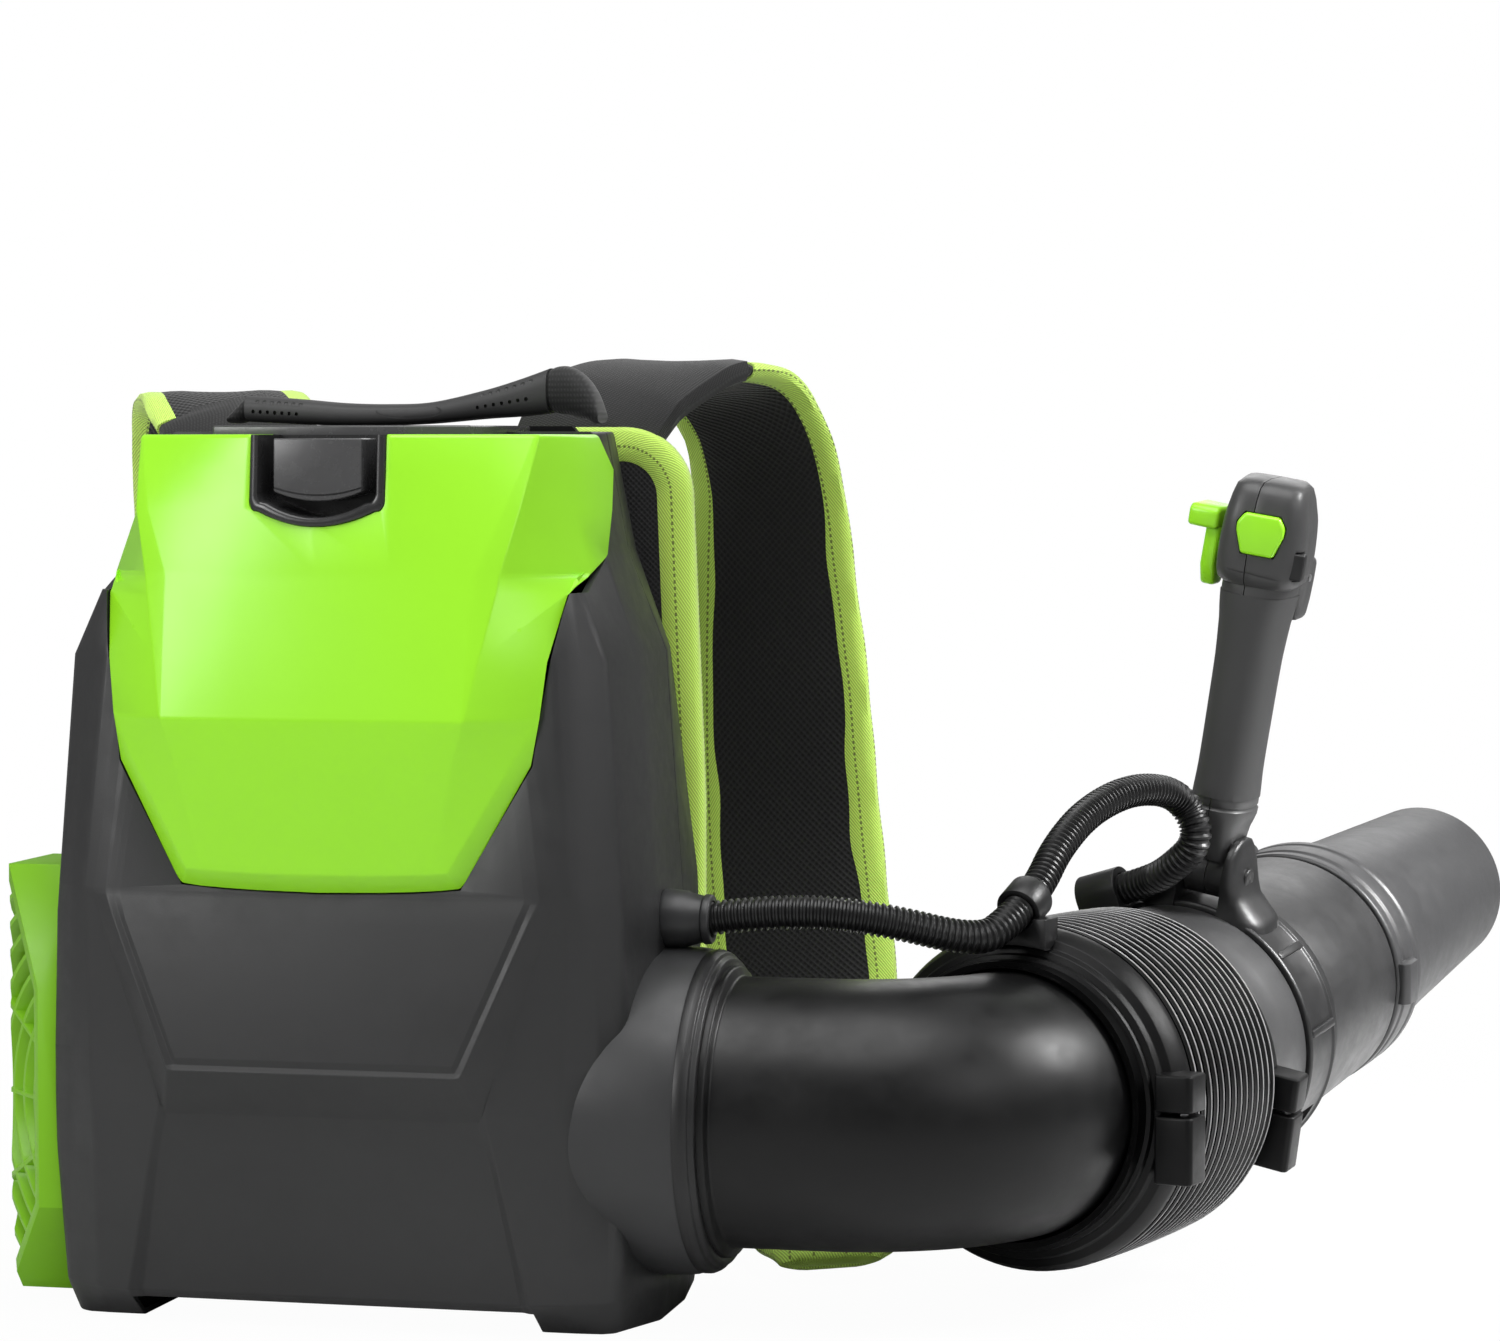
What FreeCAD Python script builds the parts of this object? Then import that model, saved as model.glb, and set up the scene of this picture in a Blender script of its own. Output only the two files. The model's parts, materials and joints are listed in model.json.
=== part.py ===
import FreeCAD, Part
import math
import os
import Sketcher
from FreeCAD import Placement, Rotation, Vector

# Backpack leaf blower. Millimetres, +Z up, origin on the ground under the middle of the housing.
# X runs from the intake side (-X) to the outlet side (+X). The wearer's back is on the +Y side.

document = FreeCAD.newDocument("BackpackBlower")
sheet = document.addObject("Spreadsheet::Sheet", "Sizes")


# Driving dimensions

# Housing levels: height above ground, distance and half width of the front panel, of the edge
# beside it and of the front corner, and half width at the back.
levels = {
    "foot": (0, 59, 104, 58, 134, 54, 140, 142),
    "hem": (16, 80, 103, 67.5, 137.5, 62, 144, 143),
    "crease": (110, 89, 86, 73.5, 136, 65, 149, 146),
    "waist": (215, 88, 116, 80.3, 132, 66, 146, 143),
    "chest": (332, 79, 106, 72, 124, 63, 138, 128),
    "shoulder": (382, 74, 90, 67, 108, 56, 117, 110),
    "crown": (443, 66, 80, 58, 97, 45, 105, 98),
}
level_fields = ("height", "front", "face", "edge_front", "edge", "corner", "side", "rear")

# Cover levels: height, distance in the middle, distance and half width of the inner crease, of
# the outer crease and of the side.
cover_levels = {
    "cover_tip": (218, 92, 90.5, 68, 80, 100, 60, 130),
    "cover_low": (228, 98, 96, 67, 81, 100, 62, 131),
    "cover_belly": (303, 106, 104, 76.7, 83, 108, 63, 131),
    "cover_waist": (373, 97, 90, 79, 86, 91, 40, 124),
    "cover_brow": (405, 94.5, 80.5, 91.5, 77, 99, 20, 117.5),
    "cover_top": (441, 92, 68, 88, 58, 102.5, 20, 112),
}
cover_fields = ("height", "front", "shoulder", "face", "corner", "edge", "wrap", "side")

sizes = {
    # Housing
    "wall": 3.0,
    "gap": 0.4,
    "seam": 0.2,
    "bulge_front": 7.0,
    "bulge_rear": 5.0,
    "bulge_front_place": 14.0,
    "bulge_rear_place": 45.0,
    "back_distance": 100.0,
    "foot_gap_half": 104.0,
    "foot_gap_height": 12.0,
    "foot_gap_back": 70.0,
    "badge_top": 205.0,
    "badge_bottom": 130.0,
    "badge_top_half": 107.0,
    "badge_bottom_half": 75.0,
    "badge_top_rise": 7.0,
    "badge_bottom_rise": 14.0,
    # Cover outline seen from the front
    "cover_shoulder_height": 364.0,
    "cover_shoulder_half": 119.5,
    "cover_hip_height": 280.0,
    "cover_hip_half": 105.0,
    "cover_tip_half": 71.0,
    "cover_wrap_half": 140.0,
    "cover_side_height": 380.0,
    "cover_side_low": 17.0,
    "cover_side_high": 10.0,
    "cover_side_top": 6.0,
    "cover_side_bend": 424.0,
    # Battery bay and its latch
    "bay_half": 62.0,
    "bay_front": 50.0,
    "bay_back": 46.0,
    "bay_floor": 252.0,
    "bay_wall": 2.5,
    "bay_rail": 5.0,
    "rim_width": 5.0,
    "rim_rise": 3.0,
    "notch_half": 34.5,
    "notch_foot_half": 26.0,
    "notch_bend": 408.0,
    "notch_foot": 398.0,
    "notch_frame": 10.5,
    "button_depth": 9.0,
    "button_gap": 0.5,
    "button_travel": 4.0,
    "latch_plate": 3.0,
    # Fan stage, all round one axis along X
    "fan_height": 104.0,
    "intake_face": 149.5,
    "seat_thick": 5.0,
    "intake_radius": 60.9,
    "duct_radius": 60.0,
    "duct_wall": 2.5,
    "bell_length": 22.0,
    "rotor_place": 88.0,
    "hub_radius": 27.0,
    "hub_length": 30.0,
    "blade_count": 9.0,
    "blade_gap": 1.0,
    "blade_root_angle": 52.0,
    "blade_tip_angle": 30.0,
    "blade_chord": 28.0,
    "blade_thick": 2.0,
    "vane_count": 7.0,
    "vane_place": 38.0,
    "vane_chord": 40.0,
    "vane_thick": 2.4,
    "vane_lean": 14.0,
    "motor_radius": 25.0,
    "motor_length": 46.0,
    "shaft_radius": 4.0,
    "shaft_gap": 0.05,
    "bearing_radius": 9.5,
    "bearing_width": 7.0,
    "cone_length": 62.0,
    # Intake grille
    "grille_top": 119.0,
    "grille_foot": 98.0,
    "grille_half_depth": 59.0,
    "grille_corner_top": 59.0,
    "grille_corner_foot": 52.0,
    "grille_corner_depth": 30.0,
    "grille_rim": 4.0,
    "grille_edge": 160.0,
    "grille_face": 187.0,
    "grille_crown": 191.0,
    "grille_chin": 181.0,
    "grille_focus": 102.5,
    "grille_ray_angle": 33.0,
    "grille_bar": 2.2,
    "grille_bar_depth": 9.0,
    "grille_arc_start": 48.5,
    "grille_arc_pitch": 10.5,
    "seat_ledge": 8.0,
    # Outlet, elbow and bellows
    "outlet_face": 176.0,
    "sleeve_radius": 82.0,
    "sleeve_wall": 4.0,
    "elbow_radius": 67.5,
    "elbow_wall": 3.0,
    "elbow_run": 57.0,
    "elbow_bend": 88.0,
    "elbow_angle": 75.0,
    "elbow_flange_rise": 6.4,
    "elbow_tip_rise": 1.7,
    "elbow_tip_length": 16.0,
    "slip_fit": 0.2,
    "bellows_start": 21.0,
    "bellows_ribs": 14.0,
    "bellows_pitch": 7.7,
    "bellows_crest": 90.0,
    "bellows_root": 80.0,
    "bellows_bore": 76.0,
    "bellows_neck": 73.0,
    "neck_length": 24.0,
    "clamp_inner": 73.2,
    "clamp_flare": 88.5,
    "lug_reach": 97.0,
    "lug_width": 18.0,
    "screw_radius": 2.5,
    # Blow tube, in a frame that starts at the middle of the bellows' rear neck
    "pivot_station": 140.0,
    "tube_lift": 7.8,
    "tube_roll": 11.0,
    "swivel_radius": 73.0,
    "swivel_end_radius": 75.5,
    "swivel_length": 64.0,
    "band_radius": 77.0,
    "band_start": 65.0,
    "band_width": 36.0,
    "seal_width": 15.0,
    "seal_radius": 74.0,
    "tube_wall": 3.0,
    "tube_radius": 71.0,
    "tube_end_radius": 66.0,
    "tube_end": 238.0,
    "nozzle_start": 222.0,
    "nozzle_collar": 44.0,
    "nozzle_taper": 330.0,
    "nozzle_end": 452.0,
    "nozzle_tip_radius": 49.0,
    "nozzle_mid_radius": 56.0,
    "tab_length": 17.0,
    # Control handle, in the same frame
    "pin_station": 85.0,
    "pin_height": 92.0,
    "pin_radius": 5.0,
    "cheek_half_gap": 12.5,
    "cheek_thick": 6.0,
    "handle_lean": 4.0,
    "neck_height": 39.0,
    "grip_length": 120.0,
    "grip_width": 31.0,
    "grip_depth": 42.0,
    "head_width": 44.0,
    "head_depth": 54.0,
    "head_height": 59.0,
    "sleeve_skin": 1.6,
    # Cable conduit
    "conduit_radius": 8.6,
    "clip_length": 15.0,
    "gland_rise": 96.0,
    "gland_place": 152.0,
    "gland_length": 24.0,
    "gland_radius": 13.6,
    "gland_skirt": 11.6,
    "gland_mouth": 11.0,
    # Harness
    "panel_thick": 6.0,
    "panel_half": 104.0,
    "panel_foot": 36.0,
    "panel_top": 446.0,
    "pad_half": 140.0,
    "pad_foot": 62.0,
    "pad_top": 440.0,
    "pad_thick": 22.0,
    "strap_width": 90.0,
    "strap_thick": 13.0,
    "webbing_width": 38.0,
    "webbing_thick": 2.4,
    "carry_half": 76.0,
    "carry_place": 66.0,
    "carry_pivot": 449.0,
    "carry_rise": 20.0,
}


class Size(float):
    """A number from the sheet that remembers how it was worked out, for use in expressions."""

    def __new__(cls, value, text):
        number = super().__new__(cls, value)
        number.text = text
        return number

    def __add__(self, other):
        return Size(float(self) + float(other), "(" + self.text + " + " + text_of(other) + ")")

    def __radd__(self, other):
        return Size(float(other) + float(self), "(" + text_of(other) + " + " + self.text + ")")

    def __sub__(self, other):
        return Size(float(self) - float(other), "(" + self.text + " - " + text_of(other) + ")")

    def __rsub__(self, other):
        return Size(float(other) - float(self), "(" + text_of(other) + " - " + self.text + ")")

    def __mul__(self, other):
        return Size(float(self) * float(other), "(" + self.text + " * " + text_of(other) + ")")

    def __rmul__(self, other):
        return Size(float(other) * float(self), "(" + text_of(other) + " * " + self.text + ")")

    def __truediv__(self, other):
        return Size(float(self) / float(other), "(" + self.text + " / " + text_of(other) + ")")

    def __neg__(self):
        return Size(-float(self), "(0 - " + self.text + ")")


def text_of(value):
    if isinstance(value, Size):
        return value.text
    return "(" + repr(round(float(value), 6)) + ")"


def fill_sheet():
    """Writes every size into its own row and returns them all by name."""
    rows = dict(sizes)
    for name, numbers in levels.items():
        rows.update({name + "_" + field: value for field, value in zip(level_fields, numbers)})
    for name, numbers in cover_levels.items():
        rows.update({name + "_" + field: value for field, value in zip(cover_fields, numbers)})
    for row, (name, value) in enumerate(rows.items(), start=1):
        sheet.set("A%d" % row, name.replace("_", " "))
        sheet.set("B%d" % row, str(value))
        sheet.setAlias("B%d" % row, name)
    document.recompute()
    return {name: Size(value, "Sizes." + name) for name, value in rows.items()}


size = fill_sheet()
nodes = {}


# Tools shared by the pieces

def keep(label, thing, place=None):
    """Names a finished sub-part, seats it and remembers it for export."""
    thing.Label = label
    if place is not None:
        thing.Placement = place
    nodes[label] = thing
    return thing


def feature(label, shape, place=None):
    thing = document.addObject("Part::Feature", label)
    thing.Shape = shape
    return keep(label, thing, place or Placement())


def bind(thing, prop, value):
    thing.setExpression(prop, text_of(value))


def origin_plane(body, role):
    return [plane for plane in body.Origin.OriginFeatures if plane.Role == role][0]


def sketch_outline(body, role, points, name):
    """A closed outline whose every corner is held by two distances from the sheet."""
    sketch = body.newObject("Sketcher::SketchObject", name)
    sketch.AttachmentSupport = (origin_plane(body, role), [""])
    sketch.MapMode = "FlatFace"
    count = len(points)
    for index, (across, up) in enumerate(points):
        ahead = points[(index + 1) % count]
        sketch.addGeometry(Part.LineSegment(Vector(across, up, 0), Vector(*ahead, 0)), False)
    for index in range(count):
        sketch.addConstraint(Sketcher.Constraint("Coincident", index, 2, (index + 1) % count, 1))
    for index, (across, up) in enumerate(points):
        for kind, value, axis in (("DistanceX", across, -2), ("DistanceY", up, -1)):
            if float(value) == 0.0:
                sketch.addConstraint(Sketcher.Constraint("PointOnObject", index, 1, axis))
            else:
                number = sketch.addConstraint(
                    Sketcher.Constraint(kind, -1, 1, index, 1, float(value)))
                sketch.setExpression("Constraints[%d]" % number, text_of(value))
    return sketch


def turned(label, points, place=None):
    """A solid of revolution about X. Points are (place along X, radius)."""
    body = document.addObject("PartDesign::Body", label)
    sketch = sketch_outline(body, "XY_Plane", points, label + "_profile")
    turn = body.newObject("PartDesign::Revolution", label + "_turn")
    turn.Profile = sketch
    turn.ReferenceAxis = (sketch, ["H_Axis"])
    turn.Angle = 360
    body.Tip = turn
    return keep(label, body, place)


def raised(label, role, points, length, place=None, middle=False):
    """A flat outline made thick. The length runs along the plane's normal."""
    body = document.addObject("PartDesign::Body", label)
    sketch = sketch_outline(body, role, points, label + "_outline")
    pad = body.newObject("PartDesign::Pad", label + "_pad")
    pad.Profile = sketch
    bind(pad, "Length", length)
    pad.Midplane = middle
    body.Tip = pad
    return keep(label, body, place)


def round_bar(name, radius, length, place):
    bar = document.addObject("Part::Cylinder", name)
    bind(bar, "Radius", radius)
    bind(bar, "Height", length)
    bar.Placement = place
    return bar


def block(name, long, deep, tall, corner, place=None):
    """A box by its three sizes and its lowest corner, in the frame of the given place."""
    box = document.addObject("Part::Box", name)
    bind(box, "Length", long)
    bind(box, "Width", deep)
    bind(box, "Height", tall)
    box.Placement = (place or Placement()).multiply(Placement(Vector(*corner), Rotation()))
    return box


def joined(label, things, place=None):
    """Several solids of one piece made one."""
    fuse = document.addObject("Part::MultiFuse", label)
    fuse.Shapes = things
    release(things)
    return keep(label, fuse, place)


def cut_from(label, base, tools):
    """A piece less one or more others."""
    if len(tools) > 1:
        cutter = document.addObject("Part::MultiFuse", label + "_cutter")
        cutter.Shapes = tools
    else:
        cutter = tools[0]
    cut = document.addObject("Part::Cut", label)
    cut.Base = base
    cut.Tool = cutter
    release([base])
    return keep(label, cut)


def release(things):
    """A solid used up by another is no longer a sub-part of its own."""
    for label in [label for label, thing in nodes.items() if thing in things]:
        del nodes[label]


def polygon(points):
    return Part.makePolygon([Vector(*point) for point in points] + [Vector(*points[0])])


def circle_at(station, radius):
    return Part.Wire(Part.makeCircle(radius, Vector(station, 0, 0), Vector(1, 0, 0)))


def prism(points, direction):
    return Part.Face(polygon(points)).extrude(Vector(*direction))


def lathe(points, place=None):
    """A plain solid of revolution about X, for a piece that is made of several."""
    outline = Part.Face(polygon([(x, r, 0) for x, r in points]))
    solid = outline.revolve(Vector(0, 0, 0), Vector(1, 0, 0), 360)
    if place is not None:
        solid.Placement = place
    return solid


def around(place, x=0, y=0, z=0, axis=(0, 0, 1), angle=0):
    """A place inside another place."""
    return place.multiply(Placement(Vector(x, y, z), Rotation(Vector(*axis), angle)))


along_x = Rotation(Vector(0, 1, 0), 90)
along_y = Rotation(Vector(1, 0, 0), -90)


# Frames that carry the pieces

def find_frames():
    """The outlet face, the elbow's far end and the blow tube, each with X along the air."""
    outlet = Placement(Vector(size["outlet_face"], 0, size["fan_height"]), Rotation())
    turn = math.radians(size["elbow_angle"])
    end = Vector(size["elbow_run"] + size["elbow_bend"] * math.sin(turn),
                 size["elbow_bend"] * (1 - math.cos(turn)), 0)
    elbow_end = around(outlet, *end, angle=size["elbow_angle"])
    tube = around(elbow_end, size["pivot_station"], axis=(0, 1, 0), angle=-size["tube_lift"])
    tube = around(tube, axis=(1, 0, 0), angle=size["tube_roll"])
    return outlet, elbow_end, tube


outlet_frame, bellows_frame, tube_frame = find_frames()
fan_frame = Placement(Vector(0, 0, size["fan_height"]), Rotation())
gland_height = size["fan_height"] + size["gland_rise"]


# Housing

def housing_section(name, inset=0.0, height=None):
    """One level of the housing: a flat front, slanted front edges, full sides and a flat back."""
    def at(field):
        return size[name + "_" + field]
    half = [
        (at("face") - inset * 0.3, -at("front") + inset),
        (at("edge") - inset * 0.6, -at("edge_front") + inset),
        (at("side") - inset, -at("corner") + inset * 0.7),
        (at("side") + size["bulge_front"] - inset, -size["bulge_front_place"]),
        (at("side") + size["bulge_rear"] - inset, size["bulge_rear_place"]),
        (at("rear") - inset, size["back_distance"] - inset),
    ]
    level = at("height") if height is None else height
    right = [(x, y, level) for x, y in half]
    left = [(-x, y, level) for x, y in reversed(half)]
    return polygon(right + left)


def housing_block(inset=0.0, low=None, high=None):
    names = list(levels) if low is None else list(levels)[1:]
    heights = {names[0]: low, names[-1]: high}
    sections = [housing_section(name, inset, heights.get(name)) for name in names]
    return Part.makeLoft(sections, True, True)


def cover_section(name, inset=0.0, rear=30.0, height=None):
    def at(field):
        return size[name + "_" + field]
    half = [
        (size["notch_half"] + 4, -at("front") + 3 + inset),
        (at("face") - inset * 0.3, -at("shoulder") + inset),
        (at("edge") - inset * 0.5, -at("corner") + inset),
        (at("side") - inset, -at("wrap") + inset * 0.4),
        (at("side") + 8 - inset, rear),
    ]
    level = at("height") if height is None else height
    right = [(x, y, level) for x, y in half]
    left = [(-x, y, level) for x, y in reversed(half)]
    return polygon([(0, -at("front") + inset, level)] + right + left)


def cover_block(inset=0.0):
    low = size["cover_tip_height"] if inset <= 0 else size["cover_tip_height"] + 1
    high = size["cover_top_height"] - max(inset, 0)
    names = list(cover_levels)
    heights = {names[0]: low, names[-1]: high}
    return Part.makeLoft([cover_section(name, inset, height=heights.get(name)) for name in names],
                         True, True)


def cover_region(grow=0.0):
    """The space that belongs to the cover: its outline from the front crossed with its side."""
    top = size["crown_height"] + 12
    half = [
        (size["cover_tip_half"] + grow, size["cover_tip_height"] + 3 - grow),
        (size["cover_hip_half"] + grow, size["cover_hip_height"]),
        (size["cover_shoulder_half"] + grow, size["cover_shoulder_height"]),
        (size["cover_wrap_half"], size["cover_shoulder_height"] + 8 - grow),
        (size["cover_wrap_half"], top),
    ]
    front = prism([(x, -130, z) for x, z in half] + [(-x, -130, z) for x, z in reversed(half)],
                  (0, 240, 0))
    side = [
        (-130, size["cover_tip_height"] - 20), (-48, size["cover_tip_height"] - 20),
        (-48, size["cover_shoulder_height"] - 14),
        (-size["cover_side_low"] + grow, size["cover_side_height"] - grow),
        (size["cover_side_high"] + grow, size["cover_side_bend"] - grow / 2),
        (size["cover_side_top"] + grow, top), (-130, top),
    ]
    profile = prism([(-size["cover_wrap_half"] - 5, y, z) for y, z in side],
                    (2 * size["cover_wrap_half"] + 10, 0, 0))
    return front.common(profile)


def notch_outline(inset, front, back, foot_rise=0.0):
    """The latch notch in the cover's front edge, as a bar along Y."""
    top = size["crown_height"] + 12
    bend = size["notch_bend"] + inset * 0.9 + foot_rise / 2
    half = [
        (size["notch_foot_half"] - inset, size["notch_foot"] + inset * 1.4 + foot_rise),
        (size["notch_half"] - inset, bend),
        (size["notch_half"] - inset, top),
    ]
    points = [(x, front, z) for x, z in half] + [(-x, front, z) for x, z in reversed(half)]
    return prism(points, (0, back - front, 0))


def octagon(grow=0.0):
    """The intake's eight corners seen from the side, as (y, z) about the fan's axis."""
    deep, near = size["grille_half_depth"] + grow, size["grille_corner_depth"] + grow * 0.6
    high, low = size["grille_corner_top"] + grow * 0.4, size["grille_corner_foot"] + grow * 0.4
    top, foot = size["grille_top"] + grow, size["grille_foot"] + grow
    return [(deep, high), (near, top), (-near, top), (-deep, high),
            (-deep, -low), (-near, -foot), (near, -foot), (deep, -low)]


def octagon_bar(start, length, grow=0.0):
    return prism([(start, y, size["fan_height"] + z) for y, z in octagon(grow)], (length, 0, 0))


def rounded_box(x, y, z, deep, tall, long, radius):
    box = Part.makeBox(2 * x, deep, tall, Vector(-x, y, z))
    edges = [edge for edge in box.Edges if abs(edge.Length - long) < 1e-6]
    return box.makeFillet(radius, edges)


def build_housing():
    outer = housing_block()
    inner = housing_block(size["wall"], size["foot_gap_height"] + size["wall"] + 3,
                          size["crown_height"] - size["wall"])
    back = size["back_distance"]
    seam_at = size["bulge_rear_place"]
    shell = outer.cut(inner)
    # The raised shield under the cover
    shield = Part.makeLoft([
        polygon([(size["badge_top_half"] + 13, -60, size["waist_height"] + 4),
                 (-size["badge_top_half"] - 13, -60, size["waist_height"] + 4),
                 (-size["badge_bottom_half"] - 8, -60, size["crease_height"]),
                 (size["badge_bottom_half"] + 8, -60, size["crease_height"])]),
        polygon([(size["badge_top_half"] + 13, -size["waist_front"], size["waist_height"] + 1),
                 (-size["badge_top_half"] - 13, -size["waist_front"], size["waist_height"] + 1),
                 (-size["badge_bottom_half"] - 8, -size["crease_front"] - 0.5,
                  size["crease_height"]),
                 (size["badge_bottom_half"] + 8, -size["crease_front"] - 0.5,
                  size["crease_height"])]),
        polygon([(size["badge_top_half"], -size["waist_front"] - size["badge_top_rise"],
                  size["badge_top"]),
                 (-size["badge_top_half"], -size["waist_front"] - size["badge_top_rise"],
                  size["badge_top"]),
                 (-size["badge_bottom_half"], -size["crease_front"] - size["badge_bottom_rise"],
                  size["badge_bottom"]),
                 (size["badge_bottom_half"], -size["crease_front"] - size["badge_bottom_rise"],
                  size["badge_bottom"])]),
    ], True, True)
    hollow = Part.makeBox(150, 60, 70, Vector(-75, -size["crease_front"] - 6,
                                              size["badge_bottom"] + 6))
    shell = shell.fuse(shield.cut(inner).cut(hollow.common(shield)))
    # Openings: between the feet, battery bay, intake, outlet and the cover's place
    shell = shell.cut(Part.makeBox(2 * size["foot_gap_half"], 100 + size["foot_gap_back"],
                                   size["foot_gap_height"],
                                   Vector(-size["foot_gap_half"], -100, -0.01)))
    rim_half = size["bay_half"] + size["rim_width"]
    shell = shell.cut(Part.makeBox(2 * rim_half, size["bay_front"] + size["bay_back"]
                                   + 2 * size["rim_width"], 40,
                                   Vector(-rim_half, -size["bay_front"] - size["rim_width"],
                                          size["crown_height"] - 20)))
    shell = shell.cut(octagon_bar(-190, 60, -size["grille_rim"] - 1))
    shell = shell.cut(Part.makeCylinder(size["sleeve_radius"] + 0.1, 90,
                                        Vector(100, 0, size["fan_height"]), Vector(1, 0, 0)))
    shell = shell.cut(Part.makeCylinder(size["gland_skirt"] + 0.15, 60,
                                        Vector(120, 0, gland_height), Vector(1, 0, 0)))
    shell = shell.cut(Part.makeCylinder(size["gland_radius"] + 0.15, 40,
                                        Vector(size["gland_place"] - 1.05, 0, gland_height),
                                        Vector(1, 0, 0)))
    shell = shell.cut(cover_region(size["gap"]))
    half_space = Part.makeBox(500, 400, 600, Vector(-250, seam_at - 400 - size["seam"], -20))
    rear_space = Part.makeBox(500, 400, 600, Vector(-250, seam_at + size["seam"], -20))
    feature("front_housing", shell.common(half_space))
    feature("rear_housing", shell.common(rear_space))


def build_cover():
    skin = cover_block().cut(cover_block(size["wall"])).common(cover_region())
    rim_half = size["bay_half"] + size["rim_width"]
    skin = skin.cut(Part.makeBox(2 * rim_half, size["bay_front"] + size["bay_back"]
                                 + 2 * size["rim_width"], 60,
                                 Vector(-rim_half, -size["bay_front"] - size["rim_width"],
                                        size["crown_height"] - 30)))
    skin = skin.cut(notch_outline(0, -130, -size["bay_front"] - size["rim_width"]))
    feature("top_cover", skin)
    back = -size["bay_front"] - size["rim_width"] - 0.1
    frame_block = cover_block(-0.8)
    frame = notch_outline(0.1, -130, back).cut(notch_outline(size["notch_frame"], -131, back + 1))
    frame = frame.fuse(notch_outline(0.1, back - size["latch_plate"], back))
    lid_level = Part.makeBox(200, 200, 60, Vector(-100, -150, size["cover_top_height"]))
    feature("latch_frame", frame.common(frame_block).cut(lid_level))
    inner = size["notch_frame"] + size["button_gap"]
    button = notch_outline(inner, -130, back - size["latch_plate"] - 1).common(cover_block(1.0))
    button = button.cut(cover_block(1.0 + size["button_depth"]).fuse(Part.makeBox(
        200, 60, 80, Vector(-100, back - size["latch_plate"] - size["button_travel"] - 0.6, 390))))
    button = button.cut(Part.makeBox(200, 200, 60, Vector(-100, -150,
                                                          size["cover_top_height"] - 2)))
    feature("release_button", button)


def build_bay():
    wide, front, back = size["bay_half"], size["bay_front"], size["bay_back"]
    top = size["crown_height"] - 3
    wall = size["bay_wall"]
    tub = block("bay_outer", 2 * wide, front + back, top - size["bay_floor"],
                (-wide, -front, size["bay_floor"]))
    hole = block("bay_hole", 2 * wide - 2 * wall, front + back - 2 * wall, top,
                 (-wide + wall, -front + wall, size["bay_floor"] + wall))
    slot = block("bay_slot", 60, 22, 10, (-30, -11, size["bay_floor"] - 2))
    shell = cut_from("bay_shell", tub, [hole, slot])
    rails = []
    for index, (x, y) in enumerate(((-wide + wall, -26), (-wide + wall, 14),
                                    (wide - wall - size["bay_rail"], -26),
                                    (wide - wall - size["bay_rail"], 14))):
        rails.append(block("bay_rail_%d" % index, size["bay_rail"], 9, top - size["bay_floor"] - 30,
                           (x, y, size["bay_floor"] + wall)))
    joined("bay_liner", [shell] + rails)
    width = size["rim_width"]
    outer = block("rim_outer", 2 * wide + 2 * width - 0.2, front + back + 2 * width - 0.2,
                  size["rim_rise"] + 6, (-wide - width + 0.1, -front - width + 0.1,
                                         size["crown_height"] - 6))
    inner = block("rim_inner", 2 * wide + 0.1, front + back + 0.1, 30,
                  (-wide - 0.05, -front - 0.05, size["crown_height"] - 12))
    cut_from("bay_rim", outer, [inner])
    board = block("terminal_body", 58, 20, 26, (-29, -10, size["bay_floor"] - 1))
    recess = block("terminal_recess", 48, 12, 22, (-24, -6, size["bay_floor"] + 8))
    cut_from("terminal_block", board, [recess])
    feature("terminal_blades", Part.makeCompound([
        Part.makeBox(1.6, 9, 20, Vector(-19 + 12.5 * index, -4.5, size["bay_floor"] + 8))
        for index in range(4)]))
    # Electronics under the bay
    board_level = size["bay_floor"] - 26
    keep("controller_board", block("controller_board", 150, 70, 3.2, (-75, -35, board_level)))
    base = block("sink_base", 120, 52, 4, (-60, -26, board_level + 3.2))
    fins = [block("sink_fin_%d" % index, 2.2, 52, 12, (-58 + 12.65 * index, -26, board_level + 7))
            for index in range(10)]
    joined("heat_sink", [base] + fins)


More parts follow.
